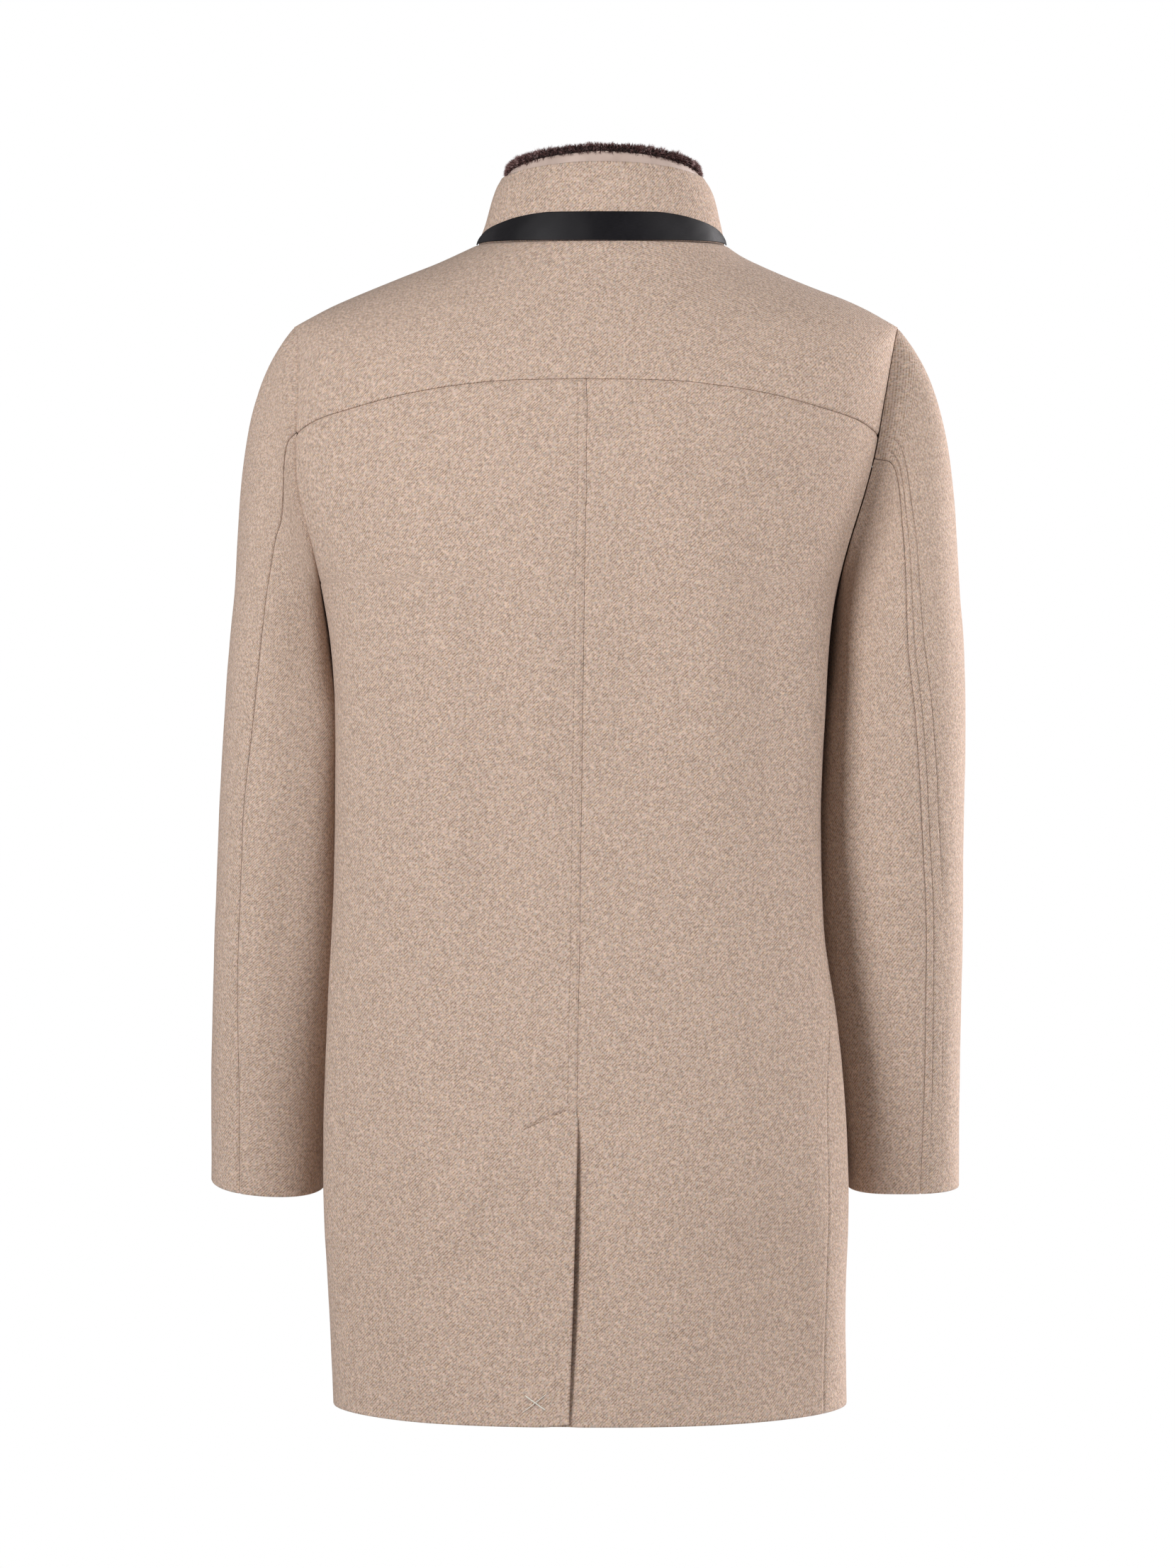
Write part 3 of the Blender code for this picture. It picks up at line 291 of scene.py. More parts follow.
# ---------------------------------------------------------------- curves and rings
def smooth(at, xs, ys):
    """Monotone cubic through the points (xs, ys). ys may have several columns."""
    xs, ys = np.asarray(xs, float), np.asarray(ys, float)
    flat = ys.ndim == 1
    ys = ys[:, None] if flat else ys
    h = np.diff(xs)[:, None]
    d = np.diff(ys, axis=0) / h
    m = np.zeros_like(ys)
    m[0], m[-1] = d[0], d[-1]
    same = d[:-1] * d[1:] > 0
    w1, w2 = 2 * h[1:] + h[:-1], h[1:] + 2 * h[:-1]
    safe = np.where(same, d[:-1], 1.0), np.where(same, d[1:], 1.0)
    m[1:-1] = np.where(same, (w1 + w2) / (w1 / safe[0] + w2 / safe[1]), 0.0)
    at = np.clip(np.asarray(at, float), xs[0], xs[-1])
    k = np.clip(np.searchsorted(xs, at, side="right") - 1, 0, len(xs) - 2)
    s = ((at - xs[k]) / h[k, 0])[..., None]
    out = (
        (1 + 2 * s) * (1 - s) ** 2 * ys[k]
        + s * (1 - s) ** 2 * h[k] * m[k]
        + s * s * (3 - 2 * s) * ys[k + 1]
        + s * s * (s - 1) * h[k] * m[k + 1]
    )
    return out[..., 0] if flat else out


def step(x):
    x = np.clip(x, 0.0, 1.0)
    return x * x * (3 - 2 * x)


def bell(x):
    return np.exp(-(x**2))


class Form:
    """A surface through a table of rings, read by level and distance along the ring."""

    def __init__(self, rows, levels=480, around=1440):
        table = np.array(rows, float)
        self.lo, self.hi = table[0, 0], table[-1, 0]
        self.levels = np.linspace(self.lo, self.hi, levels)
        ring = smooth(self.levels, table[:, 0], table)
        self.x_mid = ring[:, 3]
        turn = np.linspace(0, np.pi, 1441)
        q = np.linspace(0, 1, around // 2 + 1)
        halves, self.length, self.side = [], {}, {}
        for sign in (1.0, -1.0):
            half = np.empty((levels, len(q), 3))
            length, side = np.empty(levels), np.empty(levels)
            for k, r in enumerate(Ring(*row) for row in ring):
                back = turn <= np.pi / 2
                power = 2.0 / np.where(back, r.square, r.square_front)
                s, c = np.sin(turn) ** power, np.abs(np.cos(turn)) ** power
                x = r.x_mid + sign * r.half_w * s
                y = r.y_side + np.where(back, r.y_back - r.y_side, r.y_front - r.y_side) * c
                c2 = np.cos(turn) ** 2
                z = r.z_side + np.where(back, r.z_back - r.z_side, r.z_front - r.z_side) * c2
                p = np.stack([x, y, z], 1)
                run = np.r_[0, np.cumsum(np.linalg.norm(np.diff(p, axis=0), axis=1))]
                length[k], side[k] = run[-1], run[720]
                for axis in range(3):
                    half[k, :, axis] = np.interp(q * run[-1], run, p[:, axis])
            halves.append(half)
            self.length[sign], self.side[sign] = length, side
        self.grid = np.concatenate([halves[1][:, ::-1], halves[0][:, 1:]], axis=1)
        self.n = len(q) - 1

    def soften(self, reach, keep):
        """Round off turns between rings within reach, but keep the turn at one level at the sides."""
        gap = self.levels[1] - self.levels[0]
        n = int(np.ceil(2.5 * reach / gap))
        rows = len(self.levels)
        eased, total = np.zeros_like(self.grid), 0.0
        for offset in range(-n, n + 1):
            share = np.exp(-0.5 * (offset * gap / reach) ** 2)
            eased += share * self.grid[np.clip(np.arange(rows) + offset, 0, rows - 1)]
            total += share
        eased /= total
        q = np.linspace(-1, 1, 2 * self.n + 1)[None, :]
        length = np.where(q < 0, self.length[-1.0][:, None], self.length[1.0][:, None])
        side = np.where(q < 0, self.side[-1.0][:, None], self.side[1.0][:, None])
        by_side = 1 - step((np.abs(np.abs(q) * length - side) - 0.006) / 0.05)
        at_keep = np.exp(-(((self.levels - keep) / 0.045) ** 2))[:, None]
        ends = step((self.levels - self.lo) / 0.06) * step((self.hi - self.levels) / 0.05)
        weight = (1 - by_side * at_keep) * ends[:, None]
        self.grid = self.grid + (eased - self.grid) * weight[..., None]

    def at(self, values, level):
        return np.interp(level, self.levels, values)

    def side_line(self, level, sign):
        return self.at(self.side[sign], level)

    def front_line(self, level, sign):
        return self.at(self.length[sign], level)

    def point(self, level, dist):
        level, dist = np.broadcast_arrays(np.asarray(level, float), np.asarray(dist, float))
        left, right = self.at(self.length[1.0], level), self.at(self.length[-1.0], level)
        whole = left + right
        dist = np.mod(dist + right, whole) - right
        q = np.where(dist >= 0, dist / left, dist / right)
        col = np.clip((q + 1.0) * self.n, 0, 2 * self.n)
        row = np.clip((level - self.lo) / (self.hi - self.lo), 0, 1) * (len(self.levels) - 1)
        i = np.clip(row.astype(int), 0, len(self.levels) - 2)
        j = np.clip(col.astype(int), 0, 2 * self.n - 1)
        u, v = (row - i)[..., None], (col - j)[..., None]
        g = self.grid
        return (1 - u) * ((1 - v) * g[i, j] + v * g[i, j + 1]) + u * (
            (1 - v) * g[i + 1, j] + v * g[i + 1, j + 1]
        )

    def normal(self, level, dist):
        dl, dd = 0.004, 0.004
        up = self.point(np.minimum(level + dl, self.hi), dist) - self.point(
            np.maximum(level - dl, self.lo), dist
        )
        along = self.point(level, dist + dd) - self.point(level, dist - dd)
        n = np.cross(up, along)
        return n / np.linalg.norm(n, axis=-1, keepdims=True)


body, collar_form, inner_form = Form(BODY), Form(COLLAR, 160), Form(INNER, 160)
body.soften(SOFT_TURN, SHOULDER)


def armhole(level, reach):
    t = np.clip((level - UNDERARM) / (SHOULDER - UNDERARM), 0, 1)
    return reach * (1 - np.abs(2 * t - 1) ** ARMHOLE_ROUND) ** (1 / ARMHOLE_ROUND)


def side_seam(level, sign):
    seam = np.array(SIDE_SEAM)
    return body.side_line(level, sign) - smooth(level, seam[:, 0], seam[:, 1])


def edge_behind(level, sign):
    over = SHOULDER_SEAM_FORWARD * step((level - SHOULDER) / (NECK - SHOULDER))
    return sign * (side_seam(level, sign) - armhole(level, ARMHOLE_BACK[sign]) + over)


def edge_before(level, sign):
    over = SHOULDER_SEAM_FORWARD * step((level - SHOULDER) / (NECK - SHOULDER))
    return sign * (side_seam(level, sign) + armhole(level, ARMHOLE_FRONT) + over)


def centre_back(level):
    line = np.array(CENTRE_BACK)
    return smooth(level, line[:, 0], line[:, 1]) - body.at(body.x_mid, level)


def centre_front(level, sign):
    (low, x_low), (high, x_high) = CENTRE_FRONT
    x = np.interp(level, (low, high), (x_low, x_high))
    return body.front_line(level, sign) + sign * (body.at(body.x_mid, level) - x)


def across_back(level, share, sign):
    start = centre_back(level)
    return start + share * (edge_behind(level, sign) - start)


def yoke_level(share, sign):
    seam = np.array(YOKE_SEAM)
    tries = np.linspace(-0.20, -0.085, 300)
    found = []
    for s in np.atleast_1d(share):
        p = body.point(tries, across_back(tries, s, sign))
        miss = p[:, 2] - smooth(np.abs(p[:, 0]), seam[:, 0], seam[:, 1])
        found.append(np.interp(0.0, miss, tries))
    return np.array(found)


def rounded(a, b, count):
    return a + (b - a) * 0.5 * (1 - np.cos(np.pi * np.linspace(0, 1, count)))


# ---------------------------------------------------------------- relief of the cloth
def fold_at(a, z, f):
    """Height of one soft fold at points across a, height z."""
    da, dz = f.a1 - f.a0, f.z1 - f.z0
    long = np.hypot(da, dz)
    t = ((a - f.a0) * da + (z - f.z0) * dz) / long**2
    off = ((a - f.a0) * dz - (z - f.z0) * da) / long - f.bow * long * 4 * t * (1 - t)
    return f.deep * bell(off / f.wide) * step(t / 0.35) * step((1 - t) / 0.35 + 0.15 * (f.z1 < -0.86))


def waves(a, b, size):
    """Slow unevenness of hanging cloth."""
    return size * (
        np.sin(41 * a + 13 * b + 0.6) * np.sin(17 * b - 9 * a + 1.1)
        + 0.6 * np.sin(73 * a - 29 * b + 2.0) * np.sin(31 * b + 11 * a)
        + 0.35 * np.sin(139 * a + 47 * b + 0.3) * np.sin(83 * b + 1.7)
    )


def relief(p, n):
    """How far the body's cloth stands out from its form, from its folds."""
    x, y, z = p[..., 0], p[..., 1], p[..., 2]
    behind, before = step((n[..., 1] + 0.1) / 0.7), step((0.1 - n[..., 1]) / 0.7)
    beside = step((np.abs(n[..., 0]) - 0.45) / 0.45) * step((-0.36 - z) / 0.10)
    out = waves(x + 0.5 * y, z, 0.00028)
    for f in BACK_FOLDS:
        out = out + behind * fold_at(x, z, f)
    for f in FRONT_FOLDS:
        out = out + before * fold_at(x, z, f)
    for f in SIDE_FOLDS:
        out = out + beside * fold_at(y, z, f)
    return out


def roll(d, deep=ROLL, wide=ROLL_WIDE):
    """The cloth rolls in towards a seam d away."""
    return -deep * bell(d / wide)


def groove(d, deep=0.00045, wide=0.0008):
    return -deep * bell(d / wide)


FINE = np.array([0.0, 0.0004, 0.0009, 0.0015, 0.0022, 0.0032, 0.0050])
EDGE = np.array([0.0, 0.0008, 0.0018, 0.0032, 0.0055])
BESIDE_STITCHES = np.r_[FINE[:-1], np.arange(0.0040, 0.0096, 0.0006), 0.0120]
BESIDE_TWO_ROWS = np.r_[BESIDE_STITCHES[:-1], np.arange(0.0115, 0.0145, 0.0015), np.arange(0.0150, 0.0206, 0.0006), 0.024]
BESIDE_VENT = np.r_[BESIDE_STITCHES[:-1], np.arange(0.0108, 0.052, 0.0014)]


def spread(width, first, last, gap=GRID):
    """Shares across a width, with the offsets first and last from its two ends."""
    a, b = first[-1], width - last[-1]
    n = max(2, int(np.ceil((b - a) / gap)))
    return np.r_[first[:-1], np.linspace(a, b, n + 1), (width - last[:-1])[::-1]] / width


# ---------------------------------------------------------------- meshes
def mesh_object(name, verts, quads, tris, material, uv=None, floats=None):
    quads = np.asarray(quads, np.int64).reshape(-1, 4)
    tris = np.asarray(tris, np.int64).reshape(-1, 3)
    mesh = bpy.data.meshes.new(name)
    mesh.vertices.add(len(verts))
    mesh.vertices.foreach_set("co", np.asarray(verts, np.float32).ravel())
    loops = np.r_[quads.ravel(), tris.ravel()]
    mesh.loops.add(len(loops))
    mesh.loops.foreach_set("vertex_index", loops.astype(np.int32))
    starts = np.r_[4 * np.arange(len(quads)), 4 * len(quads) + 3 * np.arange(len(tris))]
    mesh.polygons.add(len(starts))
    mesh.polygons.foreach_set("loop_start", starts.astype(np.int32))
    if uv is not None:
        layer = mesh.uv_layers.new(name="cloth")
        layer.data.foreach_set("uv", np.asarray(uv, np.float32)[loops].ravel())
    for key, values in (floats or {}).items():
        mesh.attributes.new(key, "FLOAT", "POINT").data.foreach_set("value", np.asarray(values, np.float32))
    mesh.update(calc_edges=True)
    mesh.validate()
    mesh.shade_smooth()
    mesh.materials.append(material)
    piece = bpy.data.objects.new(name, mesh)
    bpy.context.scene.collection.objects.link(piece)
    return piece


def shell(name, outer, inner, material, uv, keep=None, bulge=None):
    """Closed cloth shell between two grids, its rim rounded out by bulge at each point."""
    rows, cols = outer.shape[:2]
    count = rows * cols
    keep = np.ones((rows - 1, cols - 1), bool) if keep is None else keep
    bulge = np.zeros((rows, cols)) if bulge is None else bulge
    idx = np.arange(count).reshape(rows, cols)
    quads = np.stack([idx[:-1, :-1][keep], idx[:-1, 1:][keep], idx[1:, 1:][keep], idx[1:, :-1][keep]], 1)
    po, pi, uvs, swell = outer.reshape(-1, 3), inner.reshape(-1, 3), uv.reshape(-1, 2), bulge.ravel()
    across = np.cross(po[quads[:, 1]] - po[quads[:, 0]], po[quads[:, 3]] - po[quads[:, 0]])
    if np.sum(across * (po - pi)[quads[:, 0]]) < 0:
        quads = quads[:, ::-1]
    ways = np.concatenate([quads[:, [0, 1]], quads[:, [1, 2]], quads[:, [2, 3]], quads[:, [3, 0]]])
    key = np.sort(ways, axis=1) @ np.array([count, 1])
    _, where, times = np.unique(key, return_inverse=True, return_counts=True)
    rim = ways[times[where] == 1]
    up = po - pi
    up = up / np.maximum(np.linalg.norm(up, axis=1, keepdims=True), 1e-9)
    out = np.zeros((count, 3))
    for end in (0, 1):
        np.add.at(out, rim[:, end], np.cross(po[rim[:, 1]] - po[rim[:, 0]], up[rim[:, end]]))
    out /= np.maximum(np.linalg.norm(out, axis=1, keepdims=True), 1e-9)
    on_rim = np.unique(rim)
    place = np.full(count, -1)
    place[on_rim] = np.arange(len(on_rim))
    verts, tex = [po, pi], [uvs, uvs]
    layers = [lambda v: v]
    for k, turn in enumerate((np.pi / 4, np.pi / 2, 3 * np.pi / 4)):
        mid = (po + pi) / 2 + (po - pi) / 2 * np.cos(turn) + out * (swell * np.sin(turn))[:, None]
        verts.append(mid[on_rim])
        tex.append(uvs[on_rim])
        layers.append(lambda v, k=k: 2 * count + k * len(on_rim) + place[v])
    layers.append(lambda v: v + count)
    faces = [quads, quads[:, ::-1] + count]
    for a, b in zip(layers[:-1], layers[1:]):
        faces.append(np.stack([a(rim[:, 1]), a(rim[:, 0]), b(rim[:, 0]), b(rim[:, 1])], 1))
    faces = np.concatenate(faces)
    verts, tex = np.concatenate(verts), np.concatenate(tex)
    used = np.unique(faces)
    new = np.full(len(verts), -1)
    new[used] = np.arange(len(used))
    return mesh_object(name, verts[used], new[faces], [], material, tex[used])


def run_along(points, axis):
    """Distance run along a grid of points in one direction."""
    gaps = np.linalg.norm(np.diff(points, axis=axis), axis=2)
    zero = np.zeros((1, points.shape[1]) if axis == 0 else (points.shape[0], 1))
    return np.concatenate([zero, np.cumsum(gaps, axis=axis)], axis=axis)


def capsules(name, starts, ends, radius, material, sides=6, arch=None, floats=None):
    """Short threads, one for each pair of points, joined in one mesh. arch lifts their middles."""
    starts, ends = np.asarray(starts, float), np.asarray(ends, float)
    n = len(starts)
    axis = ends - starts
    axis /= np.linalg.norm(axis, axis=1, keepdims=True)
    guess = np.where(np.abs(axis[:, 2:3]) < 0.8, np.array([[0.0, 0.0, 1.0]]), np.array([[0.0, 1.0, 0.0]]))
    e1 = np.cross(axis, guess)
    e1 /= np.linalg.norm(e1, axis=1, keepdims=True)
    e2 = np.cross(axis, e1)
    arch = np.zeros((n, 3)) if arch is None else arch
    stops = ((0.0, 0.35), (0.10, 0.85), (0.35, 1.0), (0.65, 1.0), (0.90, 0.85), (1.0, 0.35))
    turn = 2 * np.pi * np.arange(sides) / sides
    rings = []
    for t, r in stops:
        centre = starts + (ends - starts) * t + arch * (4 * t * (1 - t))
        ring = centre[:, None, :] + radius * r * (
            np.cos(turn)[None, :, None] * e1[:, None, :] + np.sin(turn)[None, :, None] * e2[:, None, :]
        )
        rings.append(ring)
    verts = np.stack(rings, 1).reshape(-1, 3)
    per = len(stops) * sides
    j = np.arange(sides)
    m = (j + 1) % sides
    quads = np.concatenate(
        [np.stack([k * sides + j, k * sides + m, (k + 1) * sides + m, (k + 1) * sides + j], 1) for k in range(len(stops) - 1)]
    )
    caps = []
    last = (len(stops) - 1) * sides
    for k in range(1, sides - 1):
        caps += [[0, k + 1, k], [last, last + k, last + k + 1]]
    base = (per * np.arange(n))[:, None, None]
    quads = (quads[None] + base).reshape(-1, 4)
    tris = (np.array(caps)[None] + base).reshape(-1, 3)
    uv = np.tile(np.stack([np.repeat([s[0] for s in stops], sides) * 0.003, np.tile(turn, len(stops)) * radius], 1), (n, 1))
    return mesh_object(name, verts, quads, tris, material, uv, floats)


def stitches(path, normals, sink=0.0):
    """Ends of a row of stitches along a path of points, each dipping in at its ends."""
    run = np.r_[0, np.cumsum(np.linalg.norm(np.diff(path, axis=0), axis=1))]
    at = np.arange(0, run[-1] - STITCH_LONG, STITCH_LONG + STITCH_GAP)

    def read(t):
        p = np.stack([np.interp(t, run, path[:, k]) for k in range(3)], 1)
        n = np.stack([np.interp(t, run, normals[:, k]) for k in range(3)], 1)
        return p, n / np.linalg.norm(n, axis=1, keepdims=True)

    (a, na), (b, nb) = read(at), read(at + STITCH_LONG)
    return a - na * sink, b - nb * sink, (na + nb) / 2


# ---------------------------------------------------------------- materials
def new_material(name):
    material = bpy.data.materials.new(name)
    material.use_nodes = True
    tree = material.node_tree
    return material, tree, tree.nodes["Principled BSDF"]


class Nodes:
    """Short names for the shader nodes used here."""

    def __init__(self, tree):
        self.tree = tree

    def add(self, kind, **inputs):
        node = self.tree.nodes.new(kind)
        for key, value in inputs.items():
            if isinstance(value, bpy.types.NodeSocket):
                self.tree.links.new(value, node.inputs[key])
            else:
                node.inputs[key].default_value = value
        return node

    def math(self, how, a, b=None, clamp=False):
        node = self.tree.nodes.new("ShaderNodeMath")
        node.operation, node.use_clamp = how, clamp
        for k, value in enumerate((a, b)):
            if value is None:
                continue
            if isinstance(value, bpy.types.NodeSocket):
                self.tree.links.new(value, node.inputs[k])
            else:
                node.inputs[k].default_value = value
        return node.outputs[0]

    def vector(self, how, a, b=None, scale=None):
        node = self.tree.nodes.new("ShaderNodeVectorMath")
        node.operation = how
        for k, value in enumerate((a, b)):
            if value is None:
                continue
            if isinstance(value, bpy.types.NodeSocket):
                self.tree.links.new(value, node.inputs[k])
            else:
                node.inputs[k].default_value = value
        if scale is not None:
            node.inputs["Scale"].default_value = scale
        return node.outputs[0]

    def noise(self, where, scale, detail=2.0, rough=0.5):
        node = self.add("ShaderNodeTexNoise", Vector=where, Scale=scale, Detail=detail, Roughness=rough)
        return node

    def ramp(self, factor, stops):
        node = self.tree.nodes.new("ShaderNodeValToRGB")
        self.tree.links.new(factor, node.inputs["Fac"])
        elements = node.color_ramp.elements
        while len(elements) < len(stops):
            elements.new(0.5)
        for element, (at, colour) in zip(elements, stops):
            element.position = at
            element.color = (*colour, 1.0)
        return node.outputs["Color"]

    def mix(self, factor, a, b, how="MIX"):
        node = self.tree.nodes.new("ShaderNodeMix")
        node.data_type, node.blend_type = "RGBA", how
        for key, value in ((0, factor), (6, a), (7, b)):
            if isinstance(value, bpy.types.NodeSocket):
                self.tree.links.new(value, node.inputs[key])
            elif key == 0:
                node.inputs[key].default_value = value
            else:
                node.inputs[key].default_value = (*value, 1.0)
        return node.outputs[2]

    def spread(self, value, low, high, to_low, to_high):
        node = self.add("ShaderNodeMapRange", Value=value)
        for key, number in (("From Min", low), ("From Max", high), ("To Min", to_low), ("To Max", to_high)):
            node.inputs[key].default_value = number
        return node.outputs[0]


def cloth_place(n, wander):
    """The cloth's own coordinates in metres, with a little wander, and across and along its twill."""
    uv = n.tree.nodes.new("ShaderNodeUVMap")
    uv.uv_map = "cloth"
    drift = n.noise(uv.outputs[0], 300.0, 3.0, 0.6)
    moved = n.vector("SUBTRACT", drift.outputs["Color"], (0.5, 0.5, 0.5))
    moved = n.vector("SCALE", moved, scale=wander)
    place = n.vector("ADD", uv.outputs[0], moved)
    apart = n.add("ShaderNodeSeparateXYZ", Vector=place)
    across = n.math("ADD", apart.outputs[0], apart.outputs[1])
    along = n.math("SUBTRACT", apart.outputs[0], apart.outputs[1])
    return uv.outputs[0], place, across, along


def wool_material():
    material, tree, shader = new_material("wool_twill_melange")
    n = Nodes(tree)
    uv, _, across, along = cloth_place(n, 0.0006)
    across = n.math("MULTIPLY", across, 0.7071)
    along = n.math("MULTIPLY", along, 0.7071)
    # twill: pale diagonal ribs, with the dark ground yarn showing between them in short dashes, darkened there also
    # as painted shade of the grooves between the ribs
    ribs = n.math("MULTIPLY", across, 1 / TWILL_PITCH)
    in_rib = n.math("FRACT", ribs)
    middle = n.math("ABSOLUTE", n.math("SUBTRACT", in_rib, 0.5))
    between = n.math("FLOOR", n.math("ADD", ribs, 0.5))

    def along_rows(row, step_, shift):
        spot = n.add("ShaderNodeCombineXYZ", X=n.math("MULTIPLY", row, step_), Y=n.math("MULTIPLY", along, 1 / TWILL_FLOAT), Z=shift)
        return n.noise(spot.outputs[0], 1.0, 1.0, 0.5).outputs[0]

    dashes = along_rows(between, 7.31, 0.0)
    floats = along_rows(n.math("FLOOR", ribs), 5.17, 4.0)
    dark = n.math("MULTIPLY", n.spread(middle, 0.16, 0.46, 0.0, 1.0), n.spread(dashes, 0.40, 0.62, 0.05, 1.0))
    fibre = n.noise(uv, 1500.0, 3.0, 0.65).outputs[0]
    # dyes: rose-grey, straw and cool grey fibres in small clouds
    rose, straw, cool = MELANGE
    warm = n.noise(uv, 430.0, 2.0, 0.6).outputs[0]
    grey = n.noise(n.vector("ADD", uv, (0.31, 0.17, 0.0)), 520.0, 2.0, 0.6).outputs[0]
    colour = n.mix(n.spread(warm, 0.40, 0.66, 0.0, 1.0), rose, straw)
    colour = n.mix(n.spread(grey, 0.47, 0.66, 0.0, 0.84), colour, cool)
    # painted shade: the grooves between the ribs are darkened towards the ground colour, on top of the darker
    # ground yarn
    colour = n.mix(n.math("MULTIPLY", dark, 0.76), colour, GROUND_AND_GROOVE_SHADE)
    tone = n.math("ADD", n.spread(floats, 0.3, 0.7, -0.21, 0.21), n.spread(fibre, 0.3, 0.7, -0.19, 0.19))
    cloud = n.noise(n.vector("ADD", uv, (0.07, 0.43, 0.0)), 190.0, 3.0, 0.6).outputs[0]
    tone = n.math("ADD", tone, n.spread(cloud, 0.3, 0.7, 0.915, 1.005))
    toned = n.vector("SCALE", colour)
    tree.links.new(tone, toned.node.inputs["Scale"])
    tree.links.new(toned, shader.inputs["Base Color"])
    height = n.math("SUBTRACT", n.math("MULTIPLY", fibre, 0.9), n.math("MULTIPLY", dark, 0.7))
    bump = n.add("ShaderNodeBump", Strength=0.5, Distance=0.0004, Height=height)
    tree.links.new(bump.outputs[0], shader.inputs["Normal"])
    tree.links.new(n.spread(fibre, 0.3, 0.7, 0.98, 0.88), shader.inputs["Roughness"])
    shader.inputs["Specular IOR Level"].default_value = 0.18
    shader.inputs["Sheen Weight"].default_value = 0.10
    shader.inputs["Sheen Roughness"].default_value = 0.38
    shader.inputs["Sheen Tint"].default_value = (1.0, 0.93, 0.92, 1.0)
    return material


def satin_material():
    material, tree, shader = new_material("dark_satin_ribbon")
    n = Nodes(tree)
    uv, place, across, along = cloth_place(n, 0.0003)
    apart = n.add("ShaderNodeSeparateXYZ", Vector=place)
    rib = n.math("SINE", n.math("MULTIPLY", across, 2 * np.pi / 0.0011))
    thread = n.add("ShaderNodeCombineXYZ", X=n.math("MULTIPLY", apart.outputs[0], 260.0), Y=n.math("MULTIPLY", apart.outputs[1], 3200.0), Z=0.0)
    yarn = n.noise(thread.outputs[0], 1.0, 2.0)
    soft = n.noise(uv, 36.0, 3.0)
    tone = n.math("ADD", n.math("MULTIPLY", yarn.outputs[0], 0.55), n.math("MULTIPLY", soft.outputs[0], 0.45))
    colour = n.ramp(tone, [(0.30, (0.0040, 0.0037, 0.0050)), (0.52, (0.0072, 0.0067, 0.0086)), (0.72, (0.0140, 0.0131, 0.0162))])
    tree.links.new(colour, shader.inputs["Base Color"])
    height = n.math("ADD", n.math("MULTIPLY", rib, 0.35), yarn.outputs[0])
    bump = n.add("ShaderNodeBump", Strength=0.35, Distance=0.00018, Height=height)
    tree.links.new(bump.outputs[0], shader.inputs["Normal"])
    tree.links.new(n.spread(yarn.outputs[0], 0.3, 0.7, 0.42, 0.56), shader.inputs["Roughness"])
    shader.inputs["Specular IOR Level"].default_value = 0.15
    return material


def smooth_material():
    material, tree, shader = new_material("smooth_inner_cloth")
    n = Nodes(tree)
    uv, place, across, along = cloth_place(n, 0.0002)
    apart = n.add("ShaderNodeSeparateXYZ", Vector=place)
    weave = n.math(
        "MULTIPLY",
        n.math("SINE", n.math("MULTIPLY", apart.outputs[0], 2 * np.pi / 0.0007)),
        n.math("SINE", n.math("MULTIPLY", apart.outputs[1], 2 * np.pi / 0.0007)),
    )
    soft = n.noise(uv, 60.0, 3.0)
    colour = n.ramp(soft.outputs[0], [(0.30, (0.430, 0.328, 0.280)), (0.50, (0.500, 0.386, 0.334)), (0.70, (0.560, 0.440, 0.384))])
    tree.links.new(colour, shader.inputs["Base Color"])
    bump = n.add("ShaderNodeBump", Strength=0.25, Distance=0.00012, Height=weave)
    tree.links.new(bump.outputs[0], shader.inputs["Normal"])
    tree.links.new(n.spread(soft.outputs[0], 0.3, 0.7, 0.50, 0.62), shader.inputs["Roughness"])
    shader.inputs["Sheen Weight"].default_value = 0.15
    return material


def fur_material():
    """Strands: dark at the root, brown along, some with frosted tips."""
    material, tree, shader = new_material("brown_pile")
    n = Nodes(tree)
    tip = tree.nodes.new("ShaderNodeAttribute")
    tip.attribute_name = "tip"
    tone = tree.nodes.new("ShaderNodeAttribute")
    tone.attribute_name = "tone"
    body_colour = n.ramp(
        tone.outputs["Fac"],
        [(0.0, (0.030, 0.010, 0.009)), (0.45, (0.082, 0.031, 0.029)), (0.80, (0.150, 0.066, 0.062)), (1.0, (0.230, 0.120, 0.114))],
    )
    tip_colour = n.ramp(
        tone.outputs["Fac"],
        [(0.0, (0.070, 0.026, 0.024)), (0.50, (0.150, 0.068, 0.064)), (0.72, (0.300, 0.185, 0.178)), (1.0, (0.640, 0.500, 0.490))],
    )
    colour = n.mix(n.spread(tip.outputs["Fac"], 0.35, 1.0, 0.0, 1.0), body_colour, tip_colour)
    root = n.mix(n.spread(tip.outputs["Fac"], 0.0, 0.5, 1.0, 0.0), colour, (0.020, 0.008, 0.007))
    tree.links.new(root, shader.inputs["Base Color"])
    shader.inputs["Roughness"].default_value = 0.50
    shader.inputs["Specular IOR Level"].default_value = 0.16
    shader.inputs["Sheen Weight"].default_value = 0.08
    shader.inputs["Sheen Tint"].default_value = (1.0, 0.76, 0.73, 1.0)
    return material


def pile_base_material():
    material, tree, shader = new_material("pile_base")
    n = Nodes(tree)
    uv = tree.nodes.new("ShaderNodeUVMap")
    uv.uv_map = "cloth"
    grain = n.noise(uv.outputs[0], 900.0, 3.0)
    colour = n.ramp(grain.outputs[0], [(0.35, (0.008, 0.004, 0.0035)), (0.65, (0.030, 0.015, 0.013))])
    tree.links.new(colour, shader.inputs["Base Color"])
    bump = n.add("ShaderNodeBump", Strength=0.8, Distance=0.0006, Height=grain.outputs[0])
    tree.links.new(bump.outputs[0], shader.inputs["Normal"])
    shader.inputs["Roughness"].default_value = 0.9
    return material


